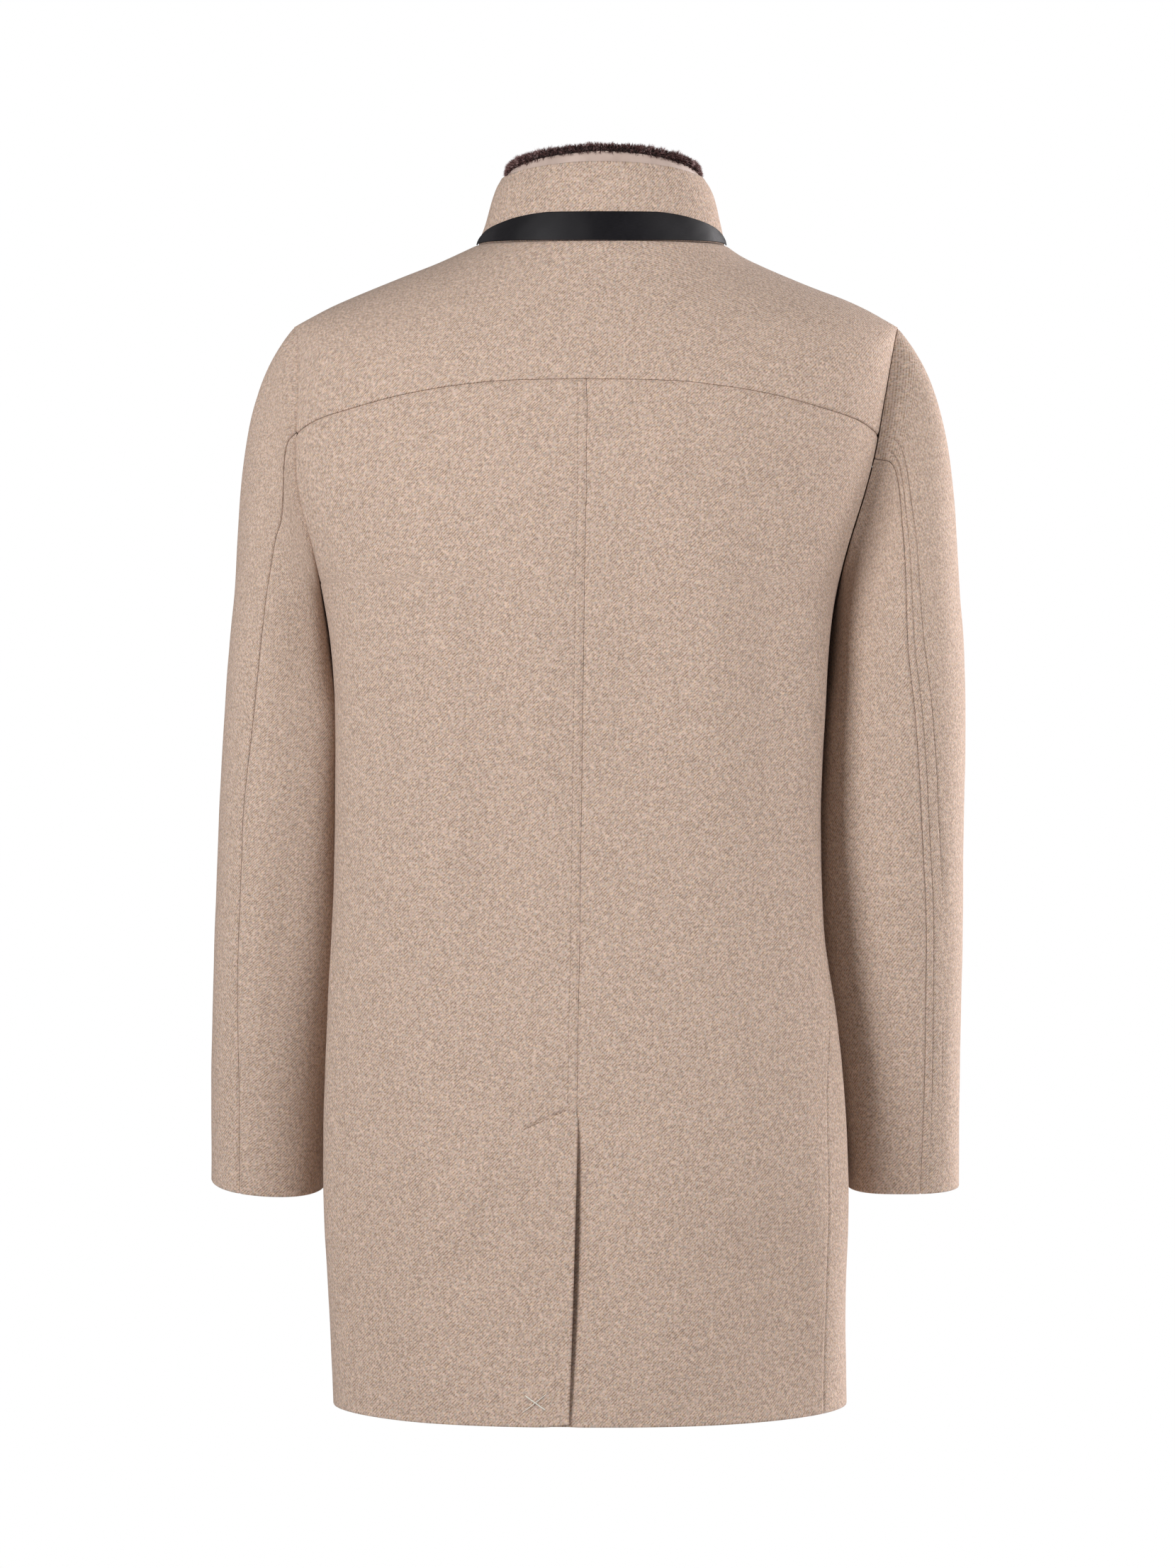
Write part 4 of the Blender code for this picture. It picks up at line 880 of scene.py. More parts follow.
def thread_material(name, dark, light, rough=0.7):
    material, tree, shader = new_material(name)
    n = Nodes(tree)
    uv = tree.nodes.new("ShaderNodeUVMap")
    uv.uv_map = "cloth"
    apart = n.add("ShaderNodeSeparateXYZ", Vector=uv.outputs[0])
    twist = n.math("SINE", n.math("ADD", n.math("MULTIPLY", apart.outputs[0], 9000.0), n.math("MULTIPLY", apart.outputs[1], 6000.0)))
    colour = n.mix(n.spread(twist, -1.0, 1.0, 0.0, 1.0), dark, light)
    tree.links.new(colour, shader.inputs["Base Color"])
    bump = n.add("ShaderNodeBump", Strength=0.6, Distance=0.0001, Height=twist)
    tree.links.new(bump.outputs[0], shader.inputs["Normal"])
    shader.inputs["Roughness"].default_value = rough
    shader.inputs["Sheen Weight"].default_value = 0.2
    return material


def horn_material():
    material, tree, shader = new_material("brown_horn")
    n = Nodes(tree)
    place = tree.nodes.new("ShaderNodeTexCoord")
    stretched = n.vector("MULTIPLY", place.outputs["Object"], (1.0, 1.0, 0.35))
    swirl = n.noise(stretched, 210.0, 4.0, 0.6)
    swirl.inputs["Distortion"].default_value = 1.6
    colour = n.ramp(
        swirl.outputs[0],
        [(0.30, (0.014, 0.008, 0.006)), (0.48, (0.045, 0.024, 0.015)), (0.60, (0.105, 0.060, 0.036)), (0.75, (0.200, 0.125, 0.075))],
    )
    tree.links.new(colour, shader.inputs["Base Color"])
    fine = n.noise(place.outputs["Object"], 2400.0, 2.0)
    tree.links.new(n.spread(fine.outputs[0], 0.3, 0.7, 0.28, 0.42), shader.inputs["Roughness"])
    bump = n.add("ShaderNodeBump", Strength=0.08, Distance=0.0001, Height=fine.outputs[0])
    tree.links.new(bump.outputs[0], shader.inputs["Normal"])
    return material


WOOL = wool_material()
SATIN = satin_material()
INNER_CLOTH = smooth_material()
FUR = fur_material()
PILE_BASE = pile_base_material()
TONAL = thread_material("tonal_thread", (0.250, 0.172, 0.128), (0.420, 0.305, 0.235))
IVORY = thread_material("ivory_thread", (0.62, 0.59, 0.51), (0.86, 0.84, 0.77), 0.6)
HORN = horn_material()


def place(piece, slot, node=None, sheet=None):
    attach(piece, "root")
    if node:
        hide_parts(node)
    return piece


# ---------------------------------------------------------------- body panels
def lower_rows(*bands):
    """Levels from the hem to the underarm, GRID apart, with finer bands (from, to, gap)."""
    levels = [HEM + o for o in EDGE]
    levels += list(np.arange(HEM + EDGE[-1] + GRID, UNDERARM - 0.002, GRID))
    for low, high, gap in bands:
        levels = [v for v in levels if not low < v < high] + list(np.arange(low, high + 1e-9, gap))
    return np.array(sorted(set(levels + [UNDERARM])))


def cloth_uv(points, dist, start_row):
    """Cloth coordinates: distance along the ring, and distance run up each column."""
    up = run_along(points, 0)
    up = up - up[start_row : start_row + 1]
    return np.stack([dist, up], 2)


def front_uv(p, dist, start_row):
    """As cloth_uv, but above that row the grain runs straight up, not with the columns to the neck."""
    up = run_along(p * np.array([0.0, 1.0, 1.0]), 0)
    up = up - up[start_row : start_row + 1]
    order = np.argsort(p[start_row, :, 0])
    x, d = p[start_row, order, 0], dist[start_row, order]
    above = p[start_row:, :, 0]
    over = (above - np.clip(above, x[0], x[-1])) * (d[-1] - d[0]) / (x[-1] - x[0])
    across = dist.copy()
    across[start_row:] = np.interp(above, x, d) + over
    return np.stack([across, up], 2)


def vent_mid(level):
    """Nought at the vent's ends, one half-way down it."""
    return np.sin(np.pi * np.clip((VENT_TOP - level) / (VENT_TOP - HEM), 0, 1)) ** 1.2


RISE = np.unique(np.r_[np.linspace(0, 1, 36), 1 - np.array([0.0005, 0.0011, 0.002, 0.0032, 0.005, 0.008, 0.012, 0.018]) / 0.13])
DIAGONAL = ((0.0156, -0.6600), (0.0506, -0.6758))  # slanted stitch row at the top of the vent


def along_diagonal(p):
    (x0, z0), (x1, z1) = DIAGONAL
    long = np.hypot(x1 - x0, z1 - z0)
    t = ((p[..., 0] - x0) * (x1 - x0) + (p[..., 2] - z0) * (z1 - z0)) / long
    off = ((p[..., 0] - x0) * (z1 - z0) - (p[..., 2] - z0) * (x1 - x0)) / long
    return t, off, long


def back_lift(p, n, level, dist, sign, to_centre, to_side, to_yoke):
    lift = relief(p, n)
    above = step((level - VENT_TOP + 0.006) / 0.012)
    by_arm = step((level - UNDERARM) / 0.02)
    at_side = roll(to_side, 1.0, 0.0013) * (SIDE_ROLL + (ARMHOLE_ROLL[sign] - SIDE_ROLL) * by_arm)
    lift = lift + roll(to_centre, 0.0009) * above + at_side + roll(to_yoke, 0.0013, 0.0020)
    if sign > 0:
        lift = lift + groove(to_centre - TOPSTITCH, 0.00025) * step((level - VENT_TOP) / 0.004)
        t, off, long = along_diagonal(p)
        lift = lift + groove(off, 0.0019, 0.0012) * step(t / 0.004 + 0.5) * step((long - t) / 0.004)
        lift = lift + (0.0005 + 0.0022 * vent_mid(level)) * bell(to_centre / 0.016) * (1 - above)
    return lift


for hand, sign in SIDE.items():
    near = BESIDE_VENT if sign > 0 else BESIDE_STITCHES
    share = spread(0.195, near, FINE)
    top = yoke_level(share, sign) - 0.00015
    lower = lower_rows((-0.684, -0.652, 0.0012)) if sign > 0 else lower_rows()
    level = np.vstack(
        [np.repeat(lower[:, None], len(share), axis=1), lower[-1] + RISE[1:, None] * (top[None, :] - lower[-1])]
    )
    dist = across_back(level, share[None, :], sign)
    dist[:, 0] += sign * SEAM / 3
    dist[:, -1] -= sign * np.where(level[:, -1] > UNDERARM + 0.01, ARMHOLE_GAP[sign], CLOSED)
    edge_c, edge_s = dist[:, :1].copy(), dist[:, -1:].copy()
    under = np.array([0.0380, 0.0372, 0.0360, 0.032, 0.027, 0.022, 0.017, 0.012, 0.008, 0.005, 0.0025])
    if sign < 0:
        dist = np.hstack([centre_back(level[:, :1]) + under[None, :], dist])
        level = np.hstack([np.repeat(level[:, :1], len(under), axis=1), level])
    p, n = body.point(level, dist), body.normal(level, dist)
    to_centre, to_side = sign * (dist - edge_c), np.abs(dist - edge_s)
    up = run_along(p, 0)
    to_yoke = up[-1:] - up
    if sign > 0:
        lift = back_lift(p, n, level, dist, sign, to_centre, to_side, to_yoke)
        bare = relief(p, n)
        # the free corner at the foot of the vent turns up a little
        corner = bell(to_centre / 0.010) * bell((level - HEM) / 0.012)
        p = p + np.array([0.0, 0.0, 1.0]) * (0.0020 * corner)[..., None]
        keep = None
    else:
        lift = back_lift(p, n, level, dist, sign, np.abs(to_centre), to_side, to_yoke)
        bare = relief(p, n)
        deep = (0.0034 + 0.0030 * vent_mid(level)) * step((VENT_TOP + 0.010 - level) / 0.042)
        dip = deep * (1 - step((to_centre + 0.0015) / 0.0125))
        lift, bare = lift - dip, bare - dip
        keep = np.ones((level.shape[0] - 1, level.shape[1] - 1), bool)
        keep[np.nonzero(lower[1:] > VENT_TOP)[0][0] :, : len(under)] = False
    bulge = np.zeros(level.shape)
    bulge[0, :] = CLOTH * 0.5
    free = lower <= VENT_TOP - 0.004
    bulge[: len(lower), 0][free] = CLOTH * 0.5
    bulge[0, -1] = 0.0
    level_in, dist_in = level.copy(), dist.copy()
    level_in[-1] += MEET
    dist_in[level[:, 0] > VENT_TOP, 0 if sign > 0 else len(under)] -= sign * MEET
    within = body.point(level_in, dist_in) - body.point(level, dist)
    piece = shell(
        "cloth_back_" + hand,
        p + n * lift[..., None],
        p + within + n * (np.minimum(bare, lift + 0.0012) - CLOTH)[..., None],
        WOOL,
        cloth_uv(p, dist, len(lower) - 1),
        keep,
        bulge,
    )
    place(piece, "wool_twill", "back_" + hand)

# yoke
half = spread(0.235, np.array([0.0, 0.005]), FINE)
share = np.r_[-half[:0:-1], half]
sides = np.where(share < 0, -1.0, 1.0)
low = np.array([yoke_level(abs(s), sg)[0] for s, sg in zip(share, sides)]) + 0.00015
OVER = np.unique(np.r_[np.linspace(0, 1, 8), np.array([0.0005, 0.0011, 0.0020, 0.0032, 0.005]) / 0.03])
UP = np.unique(np.r_[np.linspace(0, 1, 26), 1 - np.array([0.0005, 0.0011, 0.002, 0.0032]) / 0.106])
level = np.vstack(
    [
        low[None, :] + OVER[:, None] * (SHOULDER - low[None, :]),
        np.repeat((SHOULDER + UP[1:] * (NECK - SEAM / 2 - SHOULDER))[:, None], len(share), axis=1),
    ]
)
dist = np.stack([across_back(level[:, j], abs(share[j]), sg) for j, sg in enumerate(sides)], 1)
dist[:, 0] += ARMHOLE_GAP[-1.0]
dist[:, -1] -= ARMHOLE_GAP[1.0]
p, n = body.point(level, dist), body.normal(level, dist)
up = run_along(p, 0)
bare = relief(p, n)
lift = (
    bare
    + roll(up, 0.0006, 0.0010)
    + roll(np.abs(dist - dist[:, :1]), ARMHOLE_ROLL[-1.0], 0.0013)
    + roll(np.abs(dist - dist[:, -1:]), ARMHOLE_ROLL[1.0], 0.0013)
    + roll(up[-1:] - up, 0.0008, 0.0016)
)
bulge = np.zeros(level.shape)
bulge[-1, :] = SHUT
level_in = level.copy()
level_in[0] -= MEET
place(
    shell(
        "cloth_back_yoke",
        p + n * lift[..., None],
        body.point(level_in, dist) + n * (bare - CLOTH)[..., None],
        WOOL,
        cloth_uv(p, dist, 0),
        None,
        bulge,
    ),
    "wool_twill",
    "back_yoke",
)

# fronts, left over right
FRONT_RISE = np.unique(np.r_[rounded(0, 1, 38)])
for hand, sign in SIDE.items():
    lower = lower_rows()
    rows = np.r_[lower, UNDERARM + FRONT_RISE[1:] * (SHOULDER - UNDERARM), SHOULDER + UP[1:] * (NECK - SEAM / 2 - SHOULDER)]
    share = spread(0.315, FINE, np.r_[EDGE, 0.010, 0.015, 0.020])
    level = np.repeat(rows[:, None], len(share), axis=1)
    start = edge_before(level, sign) + sign * np.where(level > UNDERARM + 0.01, ARMHOLE_GAP[sign], CLOSED)
    stop = sign * (centre_front(level, sign) + FRONT_LAP)
    dist = start + share[None, :] * (stop - start)
    p, n = body.point(level, dist), body.normal(level, dist)
    bare = relief(p, n)
    past = sign * dist - centre_front(level, sign)
    up = run_along(p, 0)
    if sign < 0:
        deep = 0.0034 + 0.0016 * step((level - SHOULDER + 0.03) / 0.06)
        bare = bare - deep * step((past + FRONT_LAP + 0.030) / 0.026)
    else:
        # the lapping edge stands a little proud, more between the buttons and below them
        open_ = 0.5 + 0.5 * np.sin((level + 0.20) * 2 * np.pi / 0.127) * step((level + 0.56) / 0.03)
        bare = bare + (0.0004 + 0.0008 * open_) * bell((past - FRONT_LAP) / 0.014)
    lift = bare + roll(np.abs(dist - start), SIDE_ROLL, 0.0013) + roll(up[-1:] - up, 0.0008, 0.0016)
    bulge = np.zeros(level.shape)
    bulge[0, :] = CLOTH * 0.5
    bulge[:-1, -1] = CLOTH * 0.5
    bulge[0, 0] = 0.0
    bulge[-1, :-1] = SHUT
    piece = shell(
        "cloth_front_" + hand,
        p + n * lift[..., None],
        p + n * (bare - CLOTH)[..., None],
        WOOL,
        front_uv(p, dist, len(lower) - 1),
        None,
        bulge,
    )
    place(piece, "wool_twill", "front_" + hand)


# ---------------------------------------------------------------- sleeves
CAD_RISE, CAD_OVER, CAD_FRONT = rounded(0, 1, 9), rounded(0, 1, 6), rounded(UNDERARM, SHOULDER, 11)
# the left sleeve's back seam leaves the armhole where the yoke's seam ends, the right one's lower down
BACK_SEAM_ROW = {"left": len(CAD_OVER) - 1, "right": len(CAD_OVER) + 1}
FRONT_SEAM_ROW = len(CAD_OVER) + len(CAD_RISE) - 1 + 5


def armhole_edges(sign):
    levels = rounded(SHOULDER, UNDERARM, 400)
    edges = []
    for way, reach, ls in ((-1, ARMHOLE_BACK[sign], levels), (1, ARMHOLE_FRONT, levels[::-1])):
        d = sign * (body.side_line(ls, sign) + way * armhole(ls, reach))
        p = body.point(ls, d)
        p = p + body.normal(ls, d) * relief(p, body.normal(ls, d))[:, None]
        run = np.r_[0, np.cumsum(np.linalg.norm(np.diff(p, axis=0), axis=1))]
        edges.append((ls, p, run))
    return edges


def armhole_ring(sign, count):
    ring = []
    for _, p, run in armhole_edges(sign):
        t = np.linspace(0, run[-1], count // 2 + 1)[:-1]
        ring.append(np.stack([np.interp(t, run, p[:, k]) for k in range(3)], 1))
    return np.concatenate(ring)


def armhole_shares(sign):
    (back, _, run_b), (front, _, run_f) = armhole_edges(sign)
    end = yoke_level(1.0, sign)[0]
    rows_b = np.r_[SHOULDER + CAD_OVER * (end - SHOULDER), end + CAD_RISE[1:] * (UNDERARM - end)]
    share_b = np.interp(rows_b, back[::-1], run_b[::-1]) / run_b[-1] / 2
    share_f = 0.5 + np.interp(CAD_FRONT, front, run_f) / run_f[-1] / 2
    return np.r_[share_b, share_f[1:]]


class Sleeve:
    """A tube from the armhole to the cuff, read by share along and share round (0 at the top,
    a quarter behind, a half at the underarm)."""

    def __init__(self, hand, around=480, along=320):
        sign = SIDE[hand]
        rows = SLEEVES[hand]
        turn = 2 * np.pi * np.arange(around) / around
        start = armhole_ring(sign, around)
        rings = [start]
        for r in rows:
            power = 2.0 / r.square
            c = np.sign(np.cos(turn)) * np.abs(np.cos(turn)) ** power
            s = np.sign(np.sin(turn)) * np.abs(np.sin(turn)) ** power
            near = (c < 0) & (s > 0)
            to_corner = (np.abs(c) ** r.corner + np.abs(s) ** r.corner) ** (-1.0 / r.corner)
            c, s = np.where(near, c * to_corner, c), np.where(near, s * to_corner, s)
            c = np.where(near, c * (1 - r.pinch * s * s), c)
            x = (r.x_in + r.x_out) / 2 + (r.x_out - r.x_in) / 2 * c
            rings.append(
                np.stack([sign * x, r.y_mid + r.half_d * s, r.z + r.rise_out * c - r.rise_front * s], 1)
            )
        rings = np.array(rings)
        lean = 0.16 + 0.70 * (0.5 + 0.5 * np.cos(turn)) ** 1.2 - 0.26 * (0.5 - 0.5 * np.cos(turn)) ** 3
        leave = np.stack([sign * lean, 0.08 * np.sin(turn), -np.ones(around)], 1)
        leave /= np.linalg.norm(leave, axis=1, keepdims=True)
        aside = ARMHOLE_ASIDE[sign] * (0.5 - 0.5 * np.cos(turn)) ** 2
        rings[0] = start + leave * ARMHOLE_GAP[sign] + np.stack([sign * aside, 0 * aside, 0 * aside], 1)
        chord = np.linalg.norm(np.diff(rings, axis=0), axis=2)
        run = np.concatenate([np.zeros((1, around)), np.cumsum(chord, axis=0)])
        slope = np.empty_like(rings)
        slope[0] = leave
        slope[-1] = (rings[-1] - rings[-2]) / chord[-1][:, None]
        for k in range(1, len(rings) - 1):
            a, b = chord[k - 1][:, None], chord[k][:, None]
            slope[k] = ((rings[k] - rings[k - 1]) / a * b + (rings[k + 1] - rings[k]) / b * a) / (a + b)
        share = np.linspace(0, 1, along)
        self.grid = np.empty((along, around, 3))
        for j in range(around):
            at = share * run[-1, j]
            k = np.clip(np.searchsorted(run[:, j], at, side="right") - 1, 0, len(rings) - 2)
            h = chord[k, j][:, None]
            s = ((at - run[k, j]) / chord[k, j])[:, None]
            self.grid[:, j] = (
                (1 + 2 * s) * (1 - s) ** 2 * rings[k, j]
                + s * (1 - s) ** 2 * h * slope[k, j]
                + s * s * (3 - 2 * s) * rings[k + 1, j]
                + s * s * (s - 1) * h * slope[k + 1, j]
            )
        self.sign = sign

    def point(self, along, round_):
        along, round_ = np.broadcast_arrays(np.asarray(along, float), np.asarray(round_, float))
        n, m = self.grid.shape[:2]
        row = np.clip(along, 0, 1) * (n - 1)
        col = np.mod(round_, 1.0) * m
        i = np.clip(row.astype(int), 0, n - 2)
        j = col.astype(int) % m
        u, v = (row - i)[..., None], (col - np.floor(col))[..., None]
        g, k = self.grid, (j + 1) % m
        return (1 - u) * ((1 - v) * g[i, j] + v * g[i, k]) + u * (
            (1 - v) * g[i + 1, j] + v * g[i + 1, k]
        )

    def normal(self, along, round_):
        da, dr = 0.006, 0.008
        down = self.point(np.minimum(along + da, 1), round_) - self.point(np.maximum(along - da, 0), round_)
        about = self.point(along, round_ + dr) - self.point(along, round_ - dr)
        n = self.sign * np.cross(down, about)
        return n / np.linalg.norm(n, axis=-1, keepdims=True)


def sleeve_relief(hand, along, round_):
    long, girth = 0.66, 0.45
    r = np.mod(round_, 1.0)
    out = waves(1.3 * girth * np.sin(2 * np.pi * r) / 6.3, long * along + (0.3 if hand == "left" else 0.0), 0.00030)
    for c in SLEEVE_CREASES[hand]:
        da, dr = long * (c.along1 - c.along0), girth * (c.round1 - c.round0)
        run = np.hypot(da, dr)
        a = long * (along - c.along0)
        b = girth * (np.mod(r - c.round0 + 0.5, 1.0) - 0.5)
        t = (a * da + b * dr) / run**2
        off = (a * dr - b * da) / run
        out = out + c.deep * bell(off / c.wide) * step(t / 0.4) * step((1 - t) / 0.4)
    return out * step(along / 0.05)


ALONG = np.unique(
    np.r_[np.array([0.0, 0.0005, 0.0011, 0.002, 0.0032, 0.005]) / 0.66, np.linspace(0.0076, 1 - 0.0055 / 0.66, 128), 1 - EDGE / 0.66]
)
sleeve_stitches = {}
for hand, sign in SIDE.items():
    sleeve = Sleeve(hand)
    seams = np.array(SLEEVE_SEAMS[hand])
    shares = armhole_shares(sign)
    at_back, at_front = shares[BACK_SEAM_ROW[hand]], shares[FRONT_SEAM_ROW]
    behind = at_back + smooth(ALONG, seams[:, 0], seams[:, 1])[:, None]
    before = at_front + smooth(ALONG, seams[:, 0], seams[:, 2])[:, None]
    gap = 0.00018 / 0.44
    girth = run_along(sleeve.point(np.repeat(ALONG[:, None], 241, 1), np.linspace(0, 1, 241)[None, :]), 1)[:, -1:]
    two_rows = BESIDE_TWO_ROWS if hand == "right" else FINE
    for half_name, a, b, first, last in (
        ("top", before - 1 + gap, behind - gap, FINE, two_rows),
        ("under", behind + gap, before - gap, FINE, FINE),
    ):
        width = float(np.mean((b - a) * girth))
        share = spread(width, first, last)
        round_ = a + share[None, :] * (b - a)
        down = np.repeat(ALONG[:, None], len(share), axis=1)
        p, n = sleeve.point(down, round_), sleeve.normal(down, round_)
        across = run_along(p, 1)
        length = run_along(p, 0)
        bare = sleeve_relief(hand, down, round_)
        deep_start = 0.00025
        lift = (
            bare
            + roll(length, deep_start, 0.0012)
            + roll(across, 0.0009 if half_name == "top" else 0.0011)
            + roll(across[:, -1:] - across, 0.0009 if half_name == "top" else 0.0011)
        )
        to_back = across[:, -1:] - across
        if half_name == "top" and hand == "right":
            lift = lift + (groove(to_back - TOPSTITCH, 0.0009, 0.0009) + groove(to_back - TOPSTITCH_2, 0.0009, 0.0009)) * step(down / 0.03)
            for row in (TOPSTITCH, TOPSTITCH_2):
                on = np.array([np.interp(-row, -to_back[i], round_[i]) for i in range(len(ALONG))])
                rows = ALONG > 0.03
                q, m = sleeve.point(ALONG[rows], on[rows]), sleeve.normal(ALONG[rows], on[rows])
                q = q + m * (sleeve_relief(hand, ALONG[rows], on[rows]) - 0.0009)[:, None]
                sleeve_stitches.setdefault(hand, []).append((q, m))
        bulge = np.zeros(down.shape)
        bulge[-1, 1:-1] = CLOTH * 0.5
        mid = len(share) // 2
        uv = np.stack([0.37 * sign - sign * (across - across[:, mid : mid + 1]), length[-1:] - length + HEM], 2)
        piece = shell(
            "cloth_sleeve_%s_%s" % (hand, half_name),
            p + n * lift[..., None],
            p + n * (bare - CLOTH)[..., None],
            WOOL,
            uv,
            None,
            bulge,
        )
        place(piece, "wool_twill", "sleeve_%s_%s" % (hand, half_name))


# ---------------------------------------------------------------- collar, band, inner collar
def around_neck(form, level, share):
    left = form.front_line(level, 1.0) - COLLAR_END
    right = form.front_line(level, -1.0) - COLLAR_END
    return np.where(share >= 0, share * left, share * right)


share = np.unique(np.r_[np.linspace(-1, 1, 201), -1 + EDGE / 0.27, 1 - EDGE / 0.27])
up_share = np.unique(np.r_[np.linspace(0, 1, 22), EDGE[:4] / 0.061, 1 - EDGE / 0.061])
level = np.repeat((NECK + SEAM / 2 + up_share * (COLLAR_TOP - NECK - SEAM / 2))[:, None], len(share), axis=1)
dist = around_neck(collar_form, level, np.repeat(share[None, :], len(up_share), axis=0))
p, n = collar_form.point(level, dist), collar_form.normal(level, dist)
up = run_along(p, 0)
bare = waves(2.2 * dist, 3.0 * level, 0.00022)
from_top = up[-1:] - up
lift = bare + roll(from_top, 0.0010, 0.0042) + roll(up, 0.0006, 0.0016)
bulge = np.zeros(level.shape)
bulge[-1, :] = COLLAR_WALL * 0.5
bulge[:, 0] = bulge[:, -1] = COLLAR_WALL * 0.4
bulge[0, :] = SHUT
place(
    shell(
        "cloth_collar",
        p + n * lift[..., None],
        p + n * (bare - COLLAR_WALL)[..., None],
        WOOL,
        np.stack([dist, up], 2) + np.array([0.113, 0.071]),
        None,
        bulge,
    ),
    "wool_twill",
    "collar",
)

# satin crescent on the collar's foot
share = np.linspace(-1, 1, 181)
reach = {s: collar_form.side_line(NECK, s) * BAND_TAPER_TO for s in (1.0, -1.0)}
across = np.where(share >= 0, share * reach[1.0], share * reach[-1.0])
fall = np.clip((np.abs(share) - BAND_TAPER_FROM) / (1 - BAND_TAPER_FROM), 0, 1)
tall = BAND_HEIGHT * (1 - 0.93 * fall**1.45)
up_share = np.unique(np.r_[np.linspace(0, 1, 12), 0.02, 0.05, 0.95, 0.98])[:, None]
level = NECK + SEAM + up_share * (tall[None, :] - SEAM)
dist = np.repeat(across[None, :], len(up_share), axis=0)
p, n = collar_form.point(level, dist), collar_form.normal(level, dist)
swell = 0.0004 * np.sin(np.pi * up_share) * (tall / BAND_HEIGHT)[None, :] + waves(2.2 * dist, 3.0 * level, 0.00022)
up = run_along(p, 0)
place(
    shell(
        "satin_band",
        p + n * (LAY + BAND_WALL + swell)[..., None],
        p + n * (LAY + swell * 0.6)[..., None],
        SATIN,
        np.stack([dist, up], 2),
        None,
        np.full(level.shape, BAND_WALL * 0.4),
    ),
    "dark_satin",
    "collar_band",
)

# smooth inner collar
line = np.array(FUR_LINE)
share = np.linspace(-1, 1, 181)
fur_line = smooth(np.abs(share), line[:, 0], line[:, 1])
rise = np.linspace(0, 1, 18)[:, None]
level = INNER_FOOT + rise * (fur_line[None, :] - INNER_FOOT)
dist = around_neck(inner_form, level, np.repeat(share[None, :], len(rise), axis=0))
p, n = inner_form.point(level, dist), inner_form.normal(level, dist)
bare = waves(2.6 * dist, 2.0 * level, 0.00018)
up = run_along(p, 0)
place(
    shell(
        "smooth_inner_collar",
        p + n * bare[..., None],
        p + n * (bare - INNER_WALL)[..., None],
        INNER_CLOTH,
        np.stack([dist, up], 2),
        None,
        np.full(level.shape, INNER_WALL * 0.3),
    ),
    "smooth_cloth",
    "inner_collar",
)

# ---------------------------------------------------------------- fur: base and strands
Pile = namedtuple("Pile", "up over out")
BEHIND = -INNER_WALL - 2 * LAY
FUR_SECTION = [  # the pile's base, inside the solid of its reach
    Pile(0.27, 0.00, BEHIND),
    Pile(0.60, 0.00, BEHIND),
    Pile(1.00, 0.00, BEHIND),
    Pile(1.00, 0.06, 0.0002),
    Pile(1.00, 0.30, 0.0006),
    Pile(1.00, 0.50, -0.0004),
    Pile(1.00, 0.62, -0.0032),
    Pile(1.00, 0.50, -0.0066),
    Pile(1.00, 0.00, -0.0080),
    Pile(0.60, 0.00, -0.0080),
    Pile(0.27, 0.00, -0.0066),
]


def fur_loop(share, section):
    """Points and directions of the pile's base, for each share round the neck and row of the section."""
    fur_line = smooth(np.abs(share), line[:, 0], line[:, 1])
    rows = []
    for row in section:
        level = INNER_FOOT + row.up * (fur_line + LAY - INNER_FOOT) + row.over * (FUR_CREST - fur_line)
        dist = around_neck(inner_form, level, share)
        rows.append(inner_form.point(level, dist) + inner_form.normal(level, dist) * row.out)
    return np.array(rows)


def dense(section, count):
    """The section's rows, read off a smooth closed line through them."""
    table = np.array(section)
    table = np.vstack([table, table[:1]])
    at = np.linspace(0, len(section), count, endpoint=False)
    return [Pile(*row) for row in smooth(at, np.arange(len(table)), table)]


share = np.linspace(-0.985, 0.985, 151)
loop = fur_loop(share, dense(FUR_SECTION, 44))
sides, ends = loop.shape[:2]
i, j = np.meshgrid(np.arange(sides), np.arange(ends - 1), indexing="ij")
nxt = (i + 1) % sides
quads = np.stack([i * ends + j, nxt * ends + j, nxt * ends + j + 1, i * ends + j + 1], 2).reshape(-1, 4)
verts = loop.reshape(-1, 3)
centres = loop.mean(axis=0)
caps = []
middle = [len(verts), len(verts) + 1]
verts = np.vstack([verts, centres[0], centres[-1]])
for k in range(sides):
    m = (k + 1) % sides
    caps += [[middle[0], m * ends, k * ends], [middle[1], k * ends + ends - 1, m * ends + ends - 1]]
uv = np.stack([np.tile(share * 0.22, sides), np.repeat(np.linspace(0, 0.12, sides), ends)], 1)
uv = np.vstack([uv, uv[0], uv[ends - 1]])
fur_base = mesh_object("fur_base", verts, quads, caps, PILE_BASE, uv)
place(fur_base, "brown_fur", "fur_trim")


